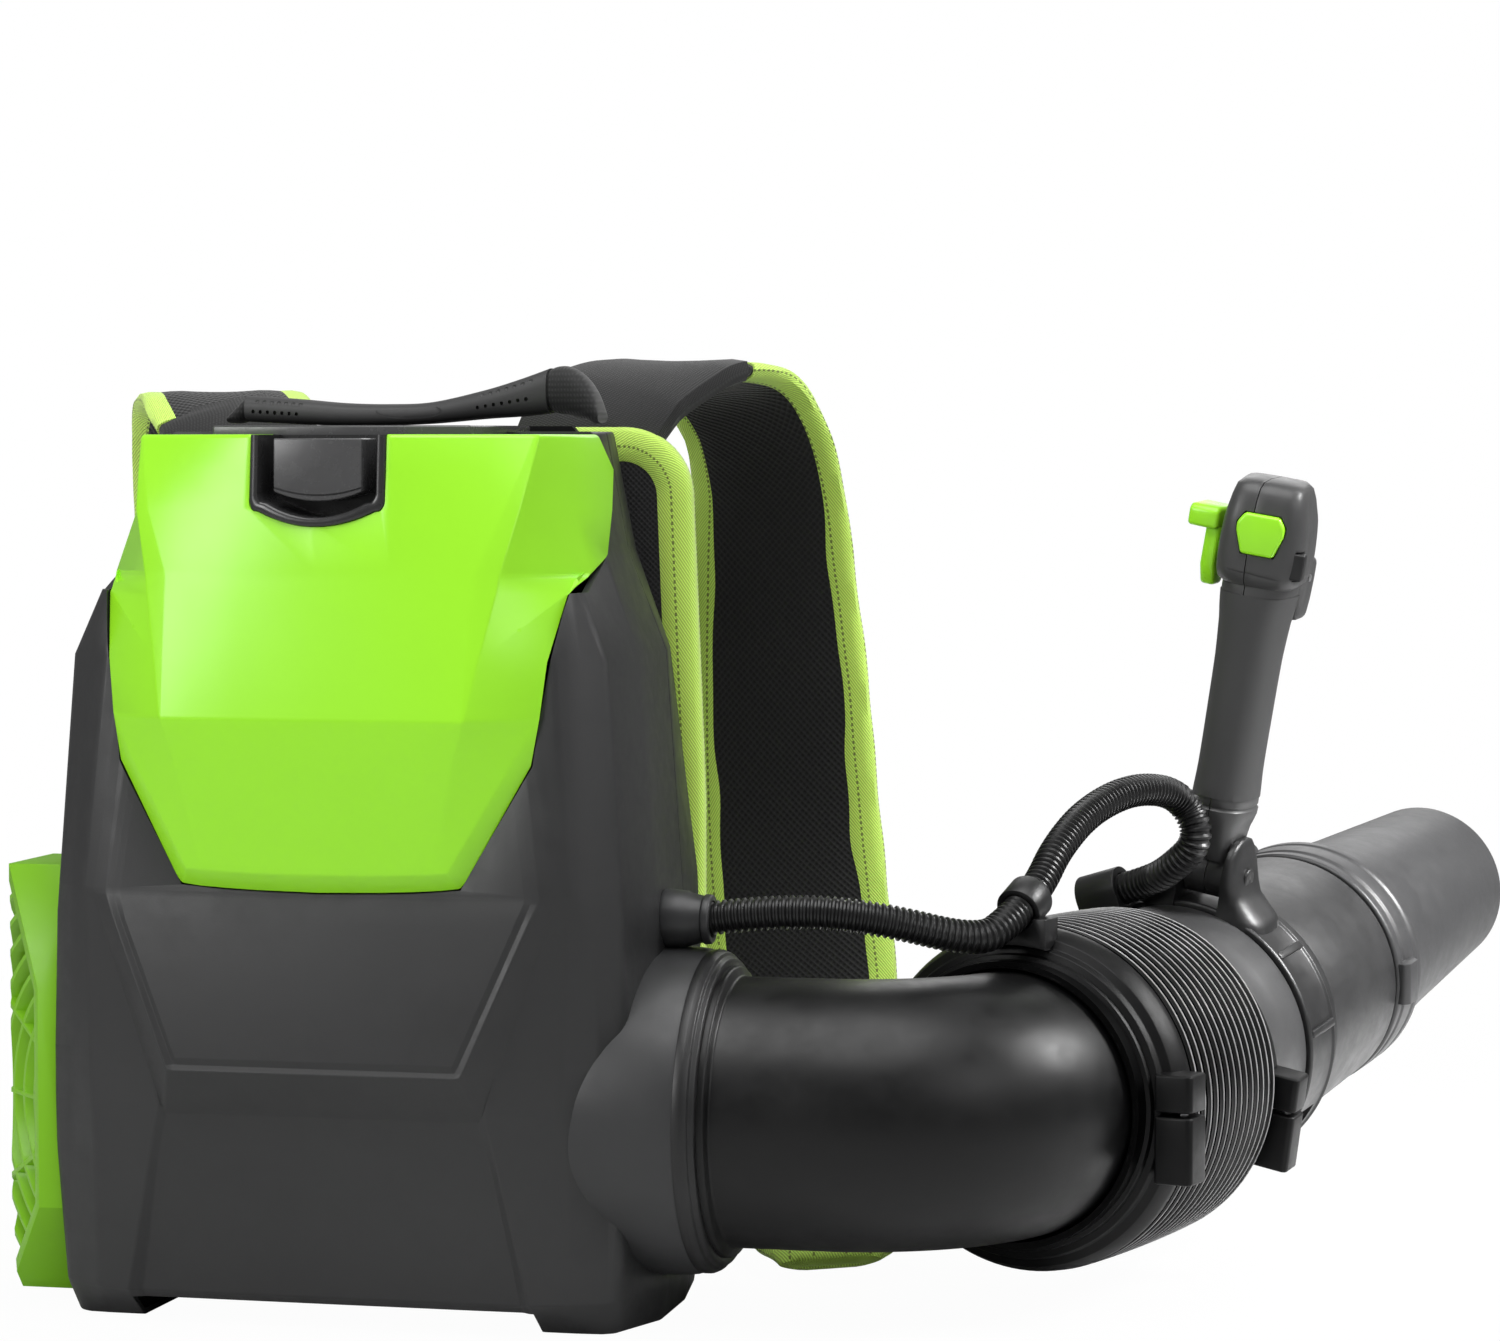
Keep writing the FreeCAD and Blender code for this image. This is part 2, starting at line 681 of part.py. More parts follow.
def build_fan():
    """Bell mouth, duct, guide vanes, motor and rotor, all about the fan axis."""
    end = size["outlet_face"] - 14.3
    duct, wall = size["duct_radius"], size["duct_wall"]
    mouth = -size["intake_face"] + size["seat_thick"]
    bell_end = mouth + size["bell_length"]
    vane_end = -size["vane_place"] + size["vane_chord"]
    tube = lathe([
        (mouth, size["intake_radius"]), (mouth + 5, size["intake_radius"] - 2.4),
        (mouth + 12, duct + 0.8), (bell_end, duct), (vane_end + 10, duct), (end, duct + 3),
        (end, duct + 3 + wall), (vane_end + 12, duct + wall), (bell_end, duct + wall),
        (mouth + 12, duct + 0.8 + wall), (mouth + 5, size["intake_radius"] - 2.4 + wall),
        (mouth, size["intake_radius"] + wall)], fan_frame)
    pod_radius = size["motor_radius"] + 3
    pod = lathe([
        (-size["vane_place"] - 8, pod_radius), (vane_end + 8, pod_radius),
        (vane_end + 8, pod_radius - 2.5), (-size["vane_place"] - 8, pod_radius - 2.5)], fan_frame)
    vanes = []
    count = int(round(size["vane_count"]))
    for index in range(count):
        angle = 360.0 * index / count
        lean = size["vane_lean"]
        x0, x1 = -size["vane_place"], vane_end
        half = size["vane_thick"] / 2
        wires = []
        for radius in (pod_radius - 1.2, duct + 1.2):
            wires.append(polygon([(x0, -half - lean * 0.5, radius), (x0, half - lean * 0.5, radius),
                                  ((x0 + x1) / 2, half + lean * 0.12, radius),
                                  (x1, half + lean * 0.3, radius),
                                  (x1, -half + lean * 0.3, radius),
                                  ((x0 + x1) / 2, -half + lean * 0.12, radius)]))
        vane = Part.makeLoft(wires, True, True)
        vane.Placement = fan_frame.multiply(Placement(Vector(), Rotation(Vector(1, 0, 0), angle)))
        vanes.append(vane)
    feature("fan_duct", tube.fuse([pod] + vanes))
    # Motor: a wound core on the pod, a can and shaft that turn with the rotor
    shaft, gap = size["shaft_radius"], size["shaft_gap"]
    motor, long = size["motor_radius"], size["motor_length"]
    start = -size["vane_place"] - 6
    seat = size["bearing_radius"]
    turned("motor_core", [(start + 8, seat), (start + 8, motor - 4.2),
                          (start + long - 10, motor - 4.2), (start + long - 10, seat)], fan_frame)
    turned("motor_mount", [(start + long - 6, size["bearing_radius"]),
                           (start + long - 6, motor + 0.5), (start + long - 2, motor + 0.5),
                           (start + long - 2, size["bearing_radius"])], fan_frame)
    bearing = [(0, shaft + gap), (0, size["bearing_radius"]),
               (size["bearing_width"], size["bearing_radius"]), (size["bearing_width"], shaft + gap)]
    feature("motor_bearings", Part.makeCompound([
        lathe([(start + at + x, r) for x, r in bearing], fan_frame) for at in (8.0, long - 8.0)]))
    turned("motor_shaft", [(-size["rotor_place"] - 4, 0), (-size["rotor_place"] - 4, shaft),
                           (start + long + 2, shaft), (start + long + 2, 0)], fan_frame)
    can_in = motor - 3.4
    turned("rotor_can", [(start - 1, shaft), (start - 1, motor - 0.6),
                         (start + long - 8, motor - 0.6), (start + long - 8, can_in),
                         (start + 2, can_in), (start + 2, shaft)], fan_frame)
    turned("tail_cone", [(vane_end + 8.2, 0), (vane_end + 8.2, size["motor_radius"] + 3),
                         (vane_end + 30, size["motor_radius"] - 4),
                         (vane_end + 8 + size["cone_length"], 3),
                         (vane_end + 8 + size["cone_length"], 0)], fan_frame)
    # Rotor: hub, blades and the nose
    hub_start = -size["rotor_place"]
    hub = size["hub_radius"]
    ring = lathe([(hub_start, shaft), (hub_start, hub),
                               (hub_start + size["hub_length"], hub),
                               (hub_start + size["hub_length"], hub - 3),
                               (hub_start + 8, hub - 3), (hub_start + 8, shaft + 4),
                               (hub_start + size["hub_length"] - 4, shaft + 4),
                               (hub_start + size["hub_length"] - 4, shaft)], fan_frame)
    blades = []
    count = int(round(size["blade_count"]))
    middle = hub_start + size["hub_length"] / 2
    for index in range(count):
        wires = []
        for radius, pitch, chord in ((hub - 1.5, size["blade_root_angle"], size["blade_chord"] * 0.9),
                                     ((hub + duct) / 2, (size["blade_root_angle"]
                                                         + size["blade_tip_angle"]) / 2,
                                      size["blade_chord"]),
                                     (duct - size["blade_gap"], size["blade_tip_angle"],
                                      size["blade_chord"] * 1.15)):
            turn = math.radians(pitch)
            half, thick = chord / 2, size["blade_thick"] / 2
            outline = []
            for along, out in ((-half, -0.3), (-half * 0.4, thick), (half * 0.4, thick * 0.9),
                               (half, 0.3), (half * 0.4, -thick * 0.9), (-half * 0.4, -thick)):
                outline.append((middle + along * math.sin(turn) - out * math.cos(turn),
                                along * math.cos(turn) + out * math.sin(turn), radius))
            wires.append(polygon(outline))
        blade = Part.makeLoft(wires, True, True)
        blade.Placement = fan_frame.multiply(
            Placement(Vector(), Rotation(Vector(1, 0, 0), 360.0 * index / count)))
        blades.append(blade)
    solid = ring.fuse(blades)
    limit = Part.makeCylinder(duct - size["blade_gap"], 90,
                              Vector(hub_start - 30, 0, size["fan_height"]), Vector(1, 0, 0))
    feature("impeller", solid.common(limit))
    turned("spinner", [(hub_start - 26, 0), (hub_start - 24, 9), (hub_start - 16, 18),
                       (hub_start - 0.2, hub), (hub_start - 0.2, hub - 2), (hub_start - 5, hub - 5),
                       (hub_start - 5, 0)], fan_frame)


def grille_cage(drop):
    """The grille's outer form: eight-sided from the side, slanted front and back, full middle."""
    deep, near = size["grille_half_depth"], size["grille_corner_depth"]
    edge, face, crown = (size[name] - drop for name in ("grille_edge", "grille_face", "grille_crown"))
    plan = [(-100, -deep - 8), (-edge, -deep), (-face, -near), (-crown, -near / 2),
            (-crown, near / 2), (-face, near), (-edge, deep), (-100, deep + 8)]
    axis = size["fan_height"]
    side = [(-100, axis + size["grille_top"] + 9), (-face, axis + size["grille_top"]),
            (-crown, axis + size["grille_corner_top"]), (-crown, axis),
            (-face, axis - size["grille_corner_foot"]),
            (-size["grille_chin"] + drop, axis - size["grille_foot"]),
            (-100, axis - size["grille_foot"] - 9)]
    over = prism([(x, y, -60) for x, y in plan], (0, 0, 400))
    return octagon_bar(-230, 130).common(over).common(
        prism([(x, -150, z) for x, z in side], (0, 300, 0)))


def build_intake():
    """The octagonal seat in the side wall and the green grille over it."""
    face, rim = size["intake_face"], size["grille_rim"]
    seat = octagon_bar(-face, size["seat_thick"], -rim - 1.2)
    seat = seat.cut(octagon_bar(-face - 5, 40, -rim - 1.2 - size["seat_ledge"]))
    feature("intake_seat", seat.common(housing_block(0.3)))
    frame = grille_cage(0).cut(octagon_bar(-230, 160, -rim))
    frame = frame.cut(housing_block(-0.2)).cut(
        housing_block(1.5, 22, size["crown_height"] - 4))
    # Rays and arcs are full-length webs trimmed to a shell just inside the outer form
    shell = grille_cage(0.4).cut(grille_cage(size["grille_bar_depth"]))
    shell = shell.common(octagon_bar(-230, 160, 0.5 - rim))
    bars = []
    focus = Vector(-size["grille_crown"] - 10, -size["grille_focus"], size["fan_height"] + 3)
    thin = size["grille_bar"]
    along_x = Vector(1, 0, 0)
    for step in (-2, -1, 0, 1, 2):
        ray = Part.makeBox(70, 330, thin, Vector(0, 0, -thin / 2))
        ray.Placement = Placement(focus, Rotation(along_x, step * size["grille_ray_angle"] * 0.94))
        bars.append(ray)
    radius = size["grille_arc_start"]
    while radius < size["grille_focus"] + size["grille_half_depth"] - 4:
        arc = Part.makeCylinder(radius + thin / 2, 70, focus, along_x)
        bars.append(arc.cut(Part.makeCylinder(radius - thin / 2, 70, focus, along_x)))
        radius = radius + size["grille_arc_pitch"]
    web = bars[0].fuse(bars[1:]).common(shell).cut(housing_block(-0.2))
    feature("intake_grille", frame.fuse(web).removeSplitter())


def build_outlet():
    face = size["outlet_face"]
    sleeve, wall = size["sleeve_radius"], size["sleeve_wall"]
    ring = Part.makeCylinder(sleeve, 76, Vector(face - 76, 0, size["fan_height"]), Vector(1, 0, 0))
    ring = ring.cut(Part.makeCylinder(sleeve - wall, 90, Vector(face - 80, 0, size["fan_height"]),
                                      Vector(1, 0, 0)))
    inside = housing_block(size["wall"] + 4, size["foot_gap_height"] + size["wall"],
                           size["crown_height"] - 10)
    feature("outlet_sleeve", ring.cut(inside))
    turned("outlet_collar", [(-14, 64), (-14, 77.6), (0, 77.6), (0, 79), (5, 79), (7, 77.6),
                             (7, 68.2), (2, 68.2), (2, 74.6), (-6, 74.6), (-6, 64)], outlet_frame)
    skirt, bore = size["gland_skirt"], size["conduit_radius"] + 0.6
    turned("cable_gland", [(-8, bore), (-8, skirt), (-1, skirt), (-1, size["gland_radius"]),
                           (3, size["gland_radius"]), (size["gland_length"] - 2,
                                                       size["gland_mouth"] + 1),
                           (size["gland_length"], size["gland_mouth"]),
                           (size["gland_length"], bore)],
           Placement(Vector(size["gland_place"], 0, gland_height), Rotation()))


def build_elbow():
    """Rigid elbow that swivels in the collar, with the bellows clamped to its far end."""
    outer, wall = size["elbow_radius"], size["elbow_wall"]
    run, bend = size["elbow_run"], size["elbow_bend"]
    face = Part.Face([circle_at(run, outer), circle_at(run, outer - wall)])
    arc = face.revolve(Vector(run, bend, 0), Vector(0, 0, 1), size["elbow_angle"])
    start = Part.makeCylinder(outer, run + 5.5, Vector(-5.5, 0, 0), Vector(1, 0, 0))
    flange = Part.makeCylinder(outer + size["elbow_flange_rise"], 7, Vector(-5.5, 0, 0),
                               Vector(1, 0, 0))
    start = start.fuse(flange).cut(
        Part.makeCylinder(outer - wall, run + 20, Vector(-10, 0, 0), Vector(1, 0, 0)))
    seat = outer + size["elbow_tip_rise"]
    tip = Part.makeCylinder(seat, size["elbow_tip_length"], Vector(0, 0, 0), Vector(1, 0, 0)).cut(
        Part.makeCylinder(outer - wall, 40, Vector(-5, 0, 0), Vector(1, 0, 0)))
    tip.Placement = outlet_frame.inverse().multiply(bellows_frame)
    feature("elbow", start.fuse([arc, tip]).removeSplitter(), outlet_frame)
    # Bellows: a ruled loft through four circles a rib, on a steady X axis, with its bore
    first, pitch = size["bellows_start"], size["bellows_pitch"]
    root, crest = size["bellows_root"], size["bellows_crest"]
    count = int(round(size["bellows_ribs"]))
    last = first + count * pitch
    ribs = []
    for index in range(count):
        place = first + index * pitch
        for share, radius in ((0.0, root), (0.3, crest), (0.6, crest), (0.9, root)):
            ribs.append(circle_at(place + share * pitch, radius))
    ribs.append(circle_at(last, root))
    body = Part.makeLoft(ribs, True, True)
    neck = size["bellows_neck"]
    body = body.fuse([Part.makeCylinder(neck, first + 14, Vector(-14, 0, 0), Vector(1, 0, 0)),
                      Part.makeCylinder(neck + 1, size["neck_length"] - 12,
                                        Vector(last, 0, 0), Vector(1, 0, 0))])
    bore = Part.makeCylinder(seat + size["slip_fit"], first + 20, Vector(-16, 0, 0),
                             Vector(1, 0, 0))
    bore = bore.fuse([Part.makeCylinder(size["bellows_bore"], last - first - 4,
                                        Vector(first + 2, 0, 0), Vector(1, 0, 0)),
                      Part.makeCylinder(neck - 2.5, 60, Vector(last - 4, 0, 0), Vector(1, 0, 0))])
    feature("bellows", body.cut(bore), bellows_frame)
    # Clamp flare that hides the bellows' first fold
    inner = size["clamp_inner"]
    flare = turned("clamp_flare_ring", [
        (-14, inner), (-14, inner + 1.8), (-10, inner + 1.8), (-10, inner + 4),
        (-5, inner + 4), (-5, inner + 6), (0, inner + 7), (16, size["clamp_flare"]),
        (19, size["clamp_flare"]), (19, inner)], bellows_frame)
    clamp_with_lug("front_clamp", flare, bellows_frame, 4.0, inner + 0.5)


def clamp_with_lug(label, ring, frame, station, inner):
    """Adds a split lug and its screw to a clamp ring, on the side away from the wearer."""
    reach, wide = size["lug_reach"], size["lug_width"]
    ears = block(label + "_ears", wide, reach - inner, 26, (station - wide / 2, -reach, -13), frame)
    screw_place = around(frame, station, -reach + 7.5, 0)
    hole = round_bar(label + "_hole", size["screw_radius"] + 0.2, 60,
                     around(screw_place, 0, 0, -30))
    split = block(label + "_split", wide + 30, reach - inner + 30, 2.4,
                  (station - wide / 2 - 15, -reach - 10, -1.2), frame)
    both = joined(label + "_solid", [ring, ears])
    cut_from(label, both, [hole, split])
    shank = round_bar(label + "_shank", size["screw_radius"], 30, around(screw_place, 0, 0, -14.5))
    head = round_bar(label + "_head", size["screw_radius"] + 2.2, 3.6,
                     around(screw_place, 0, 0, 13.1))
    socket = document.addObject("Part::Prism", label + "_socket")
    socket.Polygon = 6
    bind(socket, "Circumradius", size["screw_radius"] - 0.4)
    bind(socket, "Height", 4)
    socket.Placement = around(screw_place, 0, 0, 15)
    nut = document.addObject("Part::Prism", label + "_nut")
    nut.Polygon = 6
    bind(nut, "Circumradius", size["screw_radius"] + 2.4)
    bind(nut, "Height", 3.4)
    nut.Placement = around(screw_place, 0, 0, -16.5)
    solid = joined(label + "_bolt", [shank, head, nut])
    cut_from(label + "_screw", solid, [socket])


def build_tube():
    """The straight blow tube: rear clamp, swivel tube, handle band, seal, tube and nozzle."""
    inner = size["bellows_neck"] + 3.2
    ring = turned("rear_clamp_ring", [(1, inner), (1, inner + 3.2), (3, inner + 5), (9, inner + 5),
                                      (12, inner + 3), (12, inner)], tube_frame)
    clamp_with_lug("rear_clamp", ring, tube_frame, 2.8, inner + 0.5)
    long, wall = size["swivel_length"], size["tube_wall"]
    near, far = size["swivel_radius"], size["swivel_end_radius"]
    sleeve = near - 5.5
    turned("swivel_tube", [(-10, sleeve - wall), (-10, sleeve), (12.2, sleeve), (12.2, inner + 3),
                           (16, inner + 3), (18, near), (long, far), (long, size["tube_radius"] + 0.2),
                           (long - 4, size["tube_radius"] + 0.2), (long - 8, near - wall),
                           (24, near - wall - 1), (18, sleeve - wall)], tube_frame)
    tube, tip = size["tube_radius"], size["tube_end_radius"]
    end, nozzle = size["tube_end"], size["nozzle_start"]
    turned("blow_tube", [(long - 3.8, tube - wall), (long - 3.8, tube), (nozzle - 4, tip + 2.5),
                         (nozzle - 4, tip - 0.8), (end + 2, tip - 0.8), (end + 2, tip - 3.6),
                         (nozzle - 8, tip - 3.6), (nozzle - 16, tip - 0.4)], tube_frame)
    seal, start = size["seal_width"], size["band_start"] + size["band_width"]
    turned("tube_seal", [(start + 0.2, tube + 0.1), (start + 0.2, size["seal_radius"]),
                         (start + seal - 2, size["seal_radius"]),
                         (start + seal, size["seal_radius"] - 1.5), (start + seal, tube + 0.1)],
           tube_frame)
    collar, taper = nozzle + size["nozzle_collar"], size["nozzle_taper"]
    finish, mouth, mid = size["nozzle_end"], size["nozzle_tip_radius"], size["nozzle_mid_radius"]
    wide = tip - 0.5
    cone = turned("nozzle_shell", [
        (nozzle, wide), (nozzle, wide + 2.4), (nozzle + 2, wide + 3), (collar - 8, wide + 3),
        (collar - 4, wide - 0.5), (collar, wide - 1), (collar + 3, wide - 3.4),
        (taper, mid + 1), (finish - 3, mouth + 0.4), (finish, mouth - 0.6),
        (finish, mouth - 3), (taper, mid - 1.6), (collar + 4, wide - 6), (collar - 12, wide - 3),
        (collar - 16, wide)], tube_frame)
    tabs = []
    for index, angle in enumerate((-38, 82, 202)):
        place = around(tube_frame, axis=(1, 0, 0), angle=angle)
        tabs.append(block("nozzle_tab_%d" % index, size["tab_length"], 24, 5.5,
                          (nozzle + 1, -12, wide + 1.2), place))
    joined("nozzle", [cone] + tabs)
    # Band that carries the handle, with its window, two cheeks and the pin
    start, deep = size["band_start"], size["band_width"]
    band = lathe([(start, tube + 0.15), (start, far - 0.5), (start + 2.5, size["band_radius"]),
                  (start + deep - 2.5, size["band_radius"]), (start + deep, far - 1),
                  (start + deep, tube + 0.15)])
    half, thick = size["cheek_half_gap"], size["cheek_thick"]
    base, top = size["band_radius"] - 4, size["pin_height"]
    station = size["pin_station"]
    cheeks = []
    for side in (1, -1):
        outline = [(station - 17, base), (station + 17, base), (station + 17, base + 8),
                   (station + 9, top + 11), (station - 9, top + 11), (station - 17, base + 8)]
        plate = prism([(x, side * half, z) for x, z in outline], (0, side * thick, 0))
        cheeks.append(plate)
    window = Part.makeBox(20, 26, 60, Vector(start + 8, -13, 40))
    window.Placement = Placement(Vector(), Rotation(Vector(1, 0, 0), 62))
    bracket = band.fuse(cheeks).cut(window)
    pin_hole = Part.makeCylinder(size["pin_radius"] + 0.05, 80, Vector(station, -40, top),
                                 Vector(0, 1, 0))
    feature("handle_bracket", bracket.cut(pin_hole), tube_frame)
    reach = half + thick
    pin = round_bar("pin_shank", size["pin_radius"], 2 * reach + 6,
                    Placement(Vector(station, -reach - 3, top), along_y))
    knob = round_bar("pin_knob", size["pin_radius"] + 4, 7,
                     Placement(Vector(station, reach + 0.2, top), along_y))
    cap = round_bar("pin_cap", size["pin_radius"] + 2.5, 3,
                    Placement(Vector(station, -reach - 3.2, top), along_y))
    pivot = document.addObject("Part::MultiFuse", "pivot_pin")
    pivot.Shapes = [pin, knob, cap]
    keep("pivot_pin", pivot, tube_frame)
    # Arch that grips the end of the conduit against the band
    hold = Part.makeCylinder(size["conduit_radius"] + 3.2, 22, Vector(0, 0, 0), Vector(0, 1, 0))
    foot = Part.makeBox(24, 22, 12, Vector(-12, 0, -15))
    arch = hold.fuse(foot).cut(Part.makeCylinder(size["conduit_radius"] + 0.3, 30, Vector(0, -4, 0),
                                                 Vector(0, 1, 0)))
    seat = Placement(conduit_points["holder"], Rotation())
    seat = seat.multiply(Placement(Vector(), Rotation(Vector(1, 0, 0), -28)))
    arch.Placement = seat
    arch = arch.cut(Part.makeCylinder(size["band_radius"], 200, Vector(0, 0, 0), Vector(1, 0, 0)))
    feature("conduit_holder", arch, tube_frame)


# Control handle. Its own frame starts at the pin, with Z up the grip.

handle_frame = around(tube_frame, size["pin_station"], 0, size["pin_height"], axis=(0, 1, 0),
                      angle=size["handle_lean"])
grip_foot = size["neck_height"]
head_foot = size["neck_height"] + size["grip_length"]
head_top = head_foot + size["head_height"]


def handle_ring(height, back, front, half, corner=0.3):
    """One level of the handle: an eight-sided outline, fuller on the trigger side."""
    cut = corner * 2 * half
    points = [(back, -half + cut), (back + cut, -half), (front - cut, -half), (front, -half + cut),
              (front, half - cut), (front - cut, half), (back + cut, half), (back, half - cut)]
    return polygon([(x, y, height) for x, y in points])


def handle_block(inset=0.0):
    half, deep = size["grip_width"] / 2, size["grip_depth"] / 2
    head, reach = size["head_width"] / 2, size["head_depth"] / 2
    neck = size["cheek_half_gap"] - 0.5
    rings = [
        (9 + inset, -15, 15, neck, 0.25), (18, -17, 17, neck, 0.25),
        (grip_foot - 8, -22, 22, half + 1, 0.28), (grip_foot + 4, -deep, deep, half, 0.3),
        (grip_foot + size["grip_length"] * 0.6, -deep, deep + 1, half + 0.6, 0.3),
        (head_foot - 16, -deep - 1, deep + 3, half + 2, 0.3),
        (head_foot - 4, -deep - 2, reach + 2, half + 3, 0.28),
        (head_foot + 6, -reach + 2, reach + 7, head, 0.22),
        (head_top - 20, -reach, reach + 4, head, 0.22),
        (head_top - 5 , -reach + 4, reach - 4, head - 3, 0.24),
        (head_top - inset, -reach + 12, reach - 12, head - 7, 0.25)]
    return Part.makeLoft([handle_ring(z, a + inset, b - inset, h - inset, c)
                          for z, a, b, h, c in rings], True, True)


def build_handle():
    outer, skin = handle_block(), size["wall"] - 0.5
    eye = Part.makeCylinder(13, 2 * size["cheek_half_gap"] - 1,
                            Vector(0, -size["cheek_half_gap"] + 0.5, 0), Vector(0, 1, 0))
    shell = outer.cut(handle_block(skin)).fuse([eye, Part.makeBox(
        22, 2 * size["cheek_half_gap"] - 1, 12, Vector(-11, -size["cheek_half_gap"] + 0.5, 6))])
    shell = shell.cut(Part.makeCylinder(size["pin_radius"] + 0.08, 60, Vector(0, -30, 0),
                                        Vector(0, 1, 0)))
    reach = size["head_depth"] / 2
    # Openings for the trigger and its pin, thumb button, rocker and speed lever
    pin_at = Vector(size["grip_depth"] / 2 + 2, -19.4, head_foot + 6)
    shell = shell.cut(Part.makeCylinder(2.05, 38.8, pin_at, Vector(0, 1, 0)))
    trigger_low, trigger_high = head_foot - 34, head_foot + 14
    shell = shell.cut(Part.makeBox(40, 17, trigger_high - trigger_low,
                                   Vector(size["grip_depth"] / 2 - 8, -8.5, trigger_low)))
    thumb_low = head_foot + 13
    thumb = [(-8.5, thumb_low), (8.5, thumb_low), (11, thumb_low + 15), (9, thumb_low + 22),
             (-9, thumb_low + 22), (-11, thumb_low + 15)]
    shell = shell.cut(prism([(-60, y * 1.04, z + (0.4 if z > thumb_low + 5 else -0.4))
                             for y, z in thumb], (60, 0, 0)))
    rocker = Part.makeBox(10.4, 16, 15.8, Vector(-reach + 8.7, -size["head_width"] / 2 - 8,
                                                head_foot + 7))
    shell = shell.cut(rocker)
    lever_at = Vector(-4, 0, head_foot + 20)
    shell = shell.cut(Part.makeCylinder(6.05, 30, lever_at + Vector(0, 4, 0), Vector(0, 1, 0)))
    trim = Part.makeBox(200, 100, 400, Vector(-100, 0.05, -40))
    other = Part.makeBox(200, 100, 400, Vector(-100, -100.05, -40))
    feature("handle_left", shell.common(trim), handle_frame)
    feature("handle_right", shell.common(other), handle_frame)
    half, deep = size["grip_width"] / 2, size["grip_depth"] / 2
    grow = size["sleeve_skin"]
    low, high = grip_foot + 40, head_foot - 38
    def ring(z, swell):
        return handle_ring(z, -deep - swell, deep + 1 + swell, half + 0.8 + swell, 0.3)
    sleeve = Part.makeLoft([ring(low, 0.1), ring(low + 2, grow), ring(high - 2, grow + 0.6),
                            ring(high, 0.4)], True, True).cut(outer)
    feature("grip_sleeve", sleeve, handle_frame)
    # Trigger: pivots near its top on its own pin
    pivot = Vector(size["grip_depth"] / 2 + 2, 0, trigger_high - 8)
    outline = [(-3, 4), (5, 4), (9, -6), (13, -16), (12, -32), (4, -34), (-2, -30), (-4, -6)]
    blade = prism([(pivot.x + x, -7.5, pivot.z + z) for x, z in outline], (0, 15, 0))
    bore = Part.makeCylinder(2.05, 30, pivot - Vector(0, 15, 0), Vector(0, 1, 0))
    feature("trigger", blade.cut(bore), handle_frame)
    feature("trigger_pin", Part.makeCylinder(2.0, 38.6, pivot - Vector(0, 19.3, 0), Vector(0, 1, 0)),
            handle_frame)
    button = prism([(-reach - 4, y, z) for y, z in thumb], (12, 0, 0))
    feature("thumb_button", button, handle_frame)
    rock = Part.makeBox(9, 8, 15, Vector(-reach + 9.4, -size["head_width"] / 2 - 1.5,
                                         head_foot + 7.4))
    feature("power_switch", rock, handle_frame)
    # Speed lever on the left: a boss in the shell, a tab up and a plate down
    side = size["head_width"] / 2
    hub = Part.makeCylinder(6.0, 8, lever_at + Vector(0, side - 5, 0), Vector(0, 1, 0))
    plate = prism([(lever_at.x + x, side + 0.6, lever_at.z + z)
                   for x, z in ((-10, 8), (10, 8), (10, -16), (6, -26), (-6, -26), (-10, -12))],
                  (0, 7, 0))
    tab = prism([(lever_at.x + x, side + 0.6, lever_at.z + z)
                 for x, z in ((-12, 8), (12, 8), (12, 18), (-12, 18))], (0, 17, 0))
    feature("speed_lever", hub.fuse([plate, tab]), handle_frame)
    feature("handle_board", Part.makeBox(4, 22, 34, Vector(-8, -11, head_foot + 6)), handle_frame)


# Cable conduit, through hand-chosen points

def outlet_point(x, y, z):
    return outlet_frame.multVec(Vector(x, y, z))


def bellows_point(x, y, z):
    return bellows_frame.multVec(Vector(x, y, z))


def tube_point(x, y, z):
    return tube_frame.multVec(Vector(x, y, z))


conduit_points = {"holder": Vector(59, 40, 78.3)}

conduit_lower_points = [
    Vector(size["gland_place"] + size["gland_length"] - 5, 0, gland_height),
    Vector(size["gland_place"] + 60, 0, gland_height + 6),
    bellows_point(-72, 42, 98), bellows_point(-34, 5, 84), bellows_point(-14.2, -2.1, 93.3),
    bellows_point(1.5, -3, 100.8),
]
conduit_upper_points = [
    bellows_point(2.6, -3, 101.3), bellows_point(17.5, -3.8, 108.4), bellows_point(40, -3, 126),
    bellows_point(80, -3, 143), bellows_point(126, -9, 152), bellows_point(170, -16, 146),
    tube_point(46, -6, 120), tube_point(49, 12, 97), tube_point(59, 28, 84.7),
    tube_point(59, 54, 70.8),
]
clip_middle, clip_run = Vector(2, -3, 101), Vector(0.9, -0.05, 0.43)


def rounded_path(corners):
    """Straight runs joined by tangent arcs, from one end to the other."""
    edges = []
    start = corners[0]
    for index in range(1, len(corners) - 1):
        before, corner, after = corners[index - 1], corners[index], corners[index + 1]
        first, second = (before - corner), (after - corner)
        reach = 0.45 * min(first.Length, second.Length)
        first.normalize()
        second.normalize()
        inward = first + second
        if inward.Length < 1e-4:
            continue
        enter, leave = corner + first * reach, corner + second * reach
        inward.normalize()
        turn = math.acos(max(-1, min(1, -first.dot(second))))
        radius = reach / math.tan(turn / 2)
        middle = corner + inward * (radius / math.cos(turn / 2) - radius)
        edges.append(Part.LineSegment(start, enter).toShape())
        edges.append(Part.Arc(enter, middle, leave).toShape())
        start = leave
    edges.append(Part.LineSegment(start, corners[-1]).toShape())
    return Part.Wire(edges)


def tube_along(path, radius):
    ahead = path.Edges[0].tangentAt(path.Edges[0].FirstParameter)
    ring = Part.Wire(Part.makeCircle(radius, path.Edges[0].Vertexes[0].Point, ahead))
    shell = Part.BRepOffsetAPI.MakePipeShell(path)
    shell.add(ring)
    shell.build()
    shell.makeSolid()
    return shell.shape()


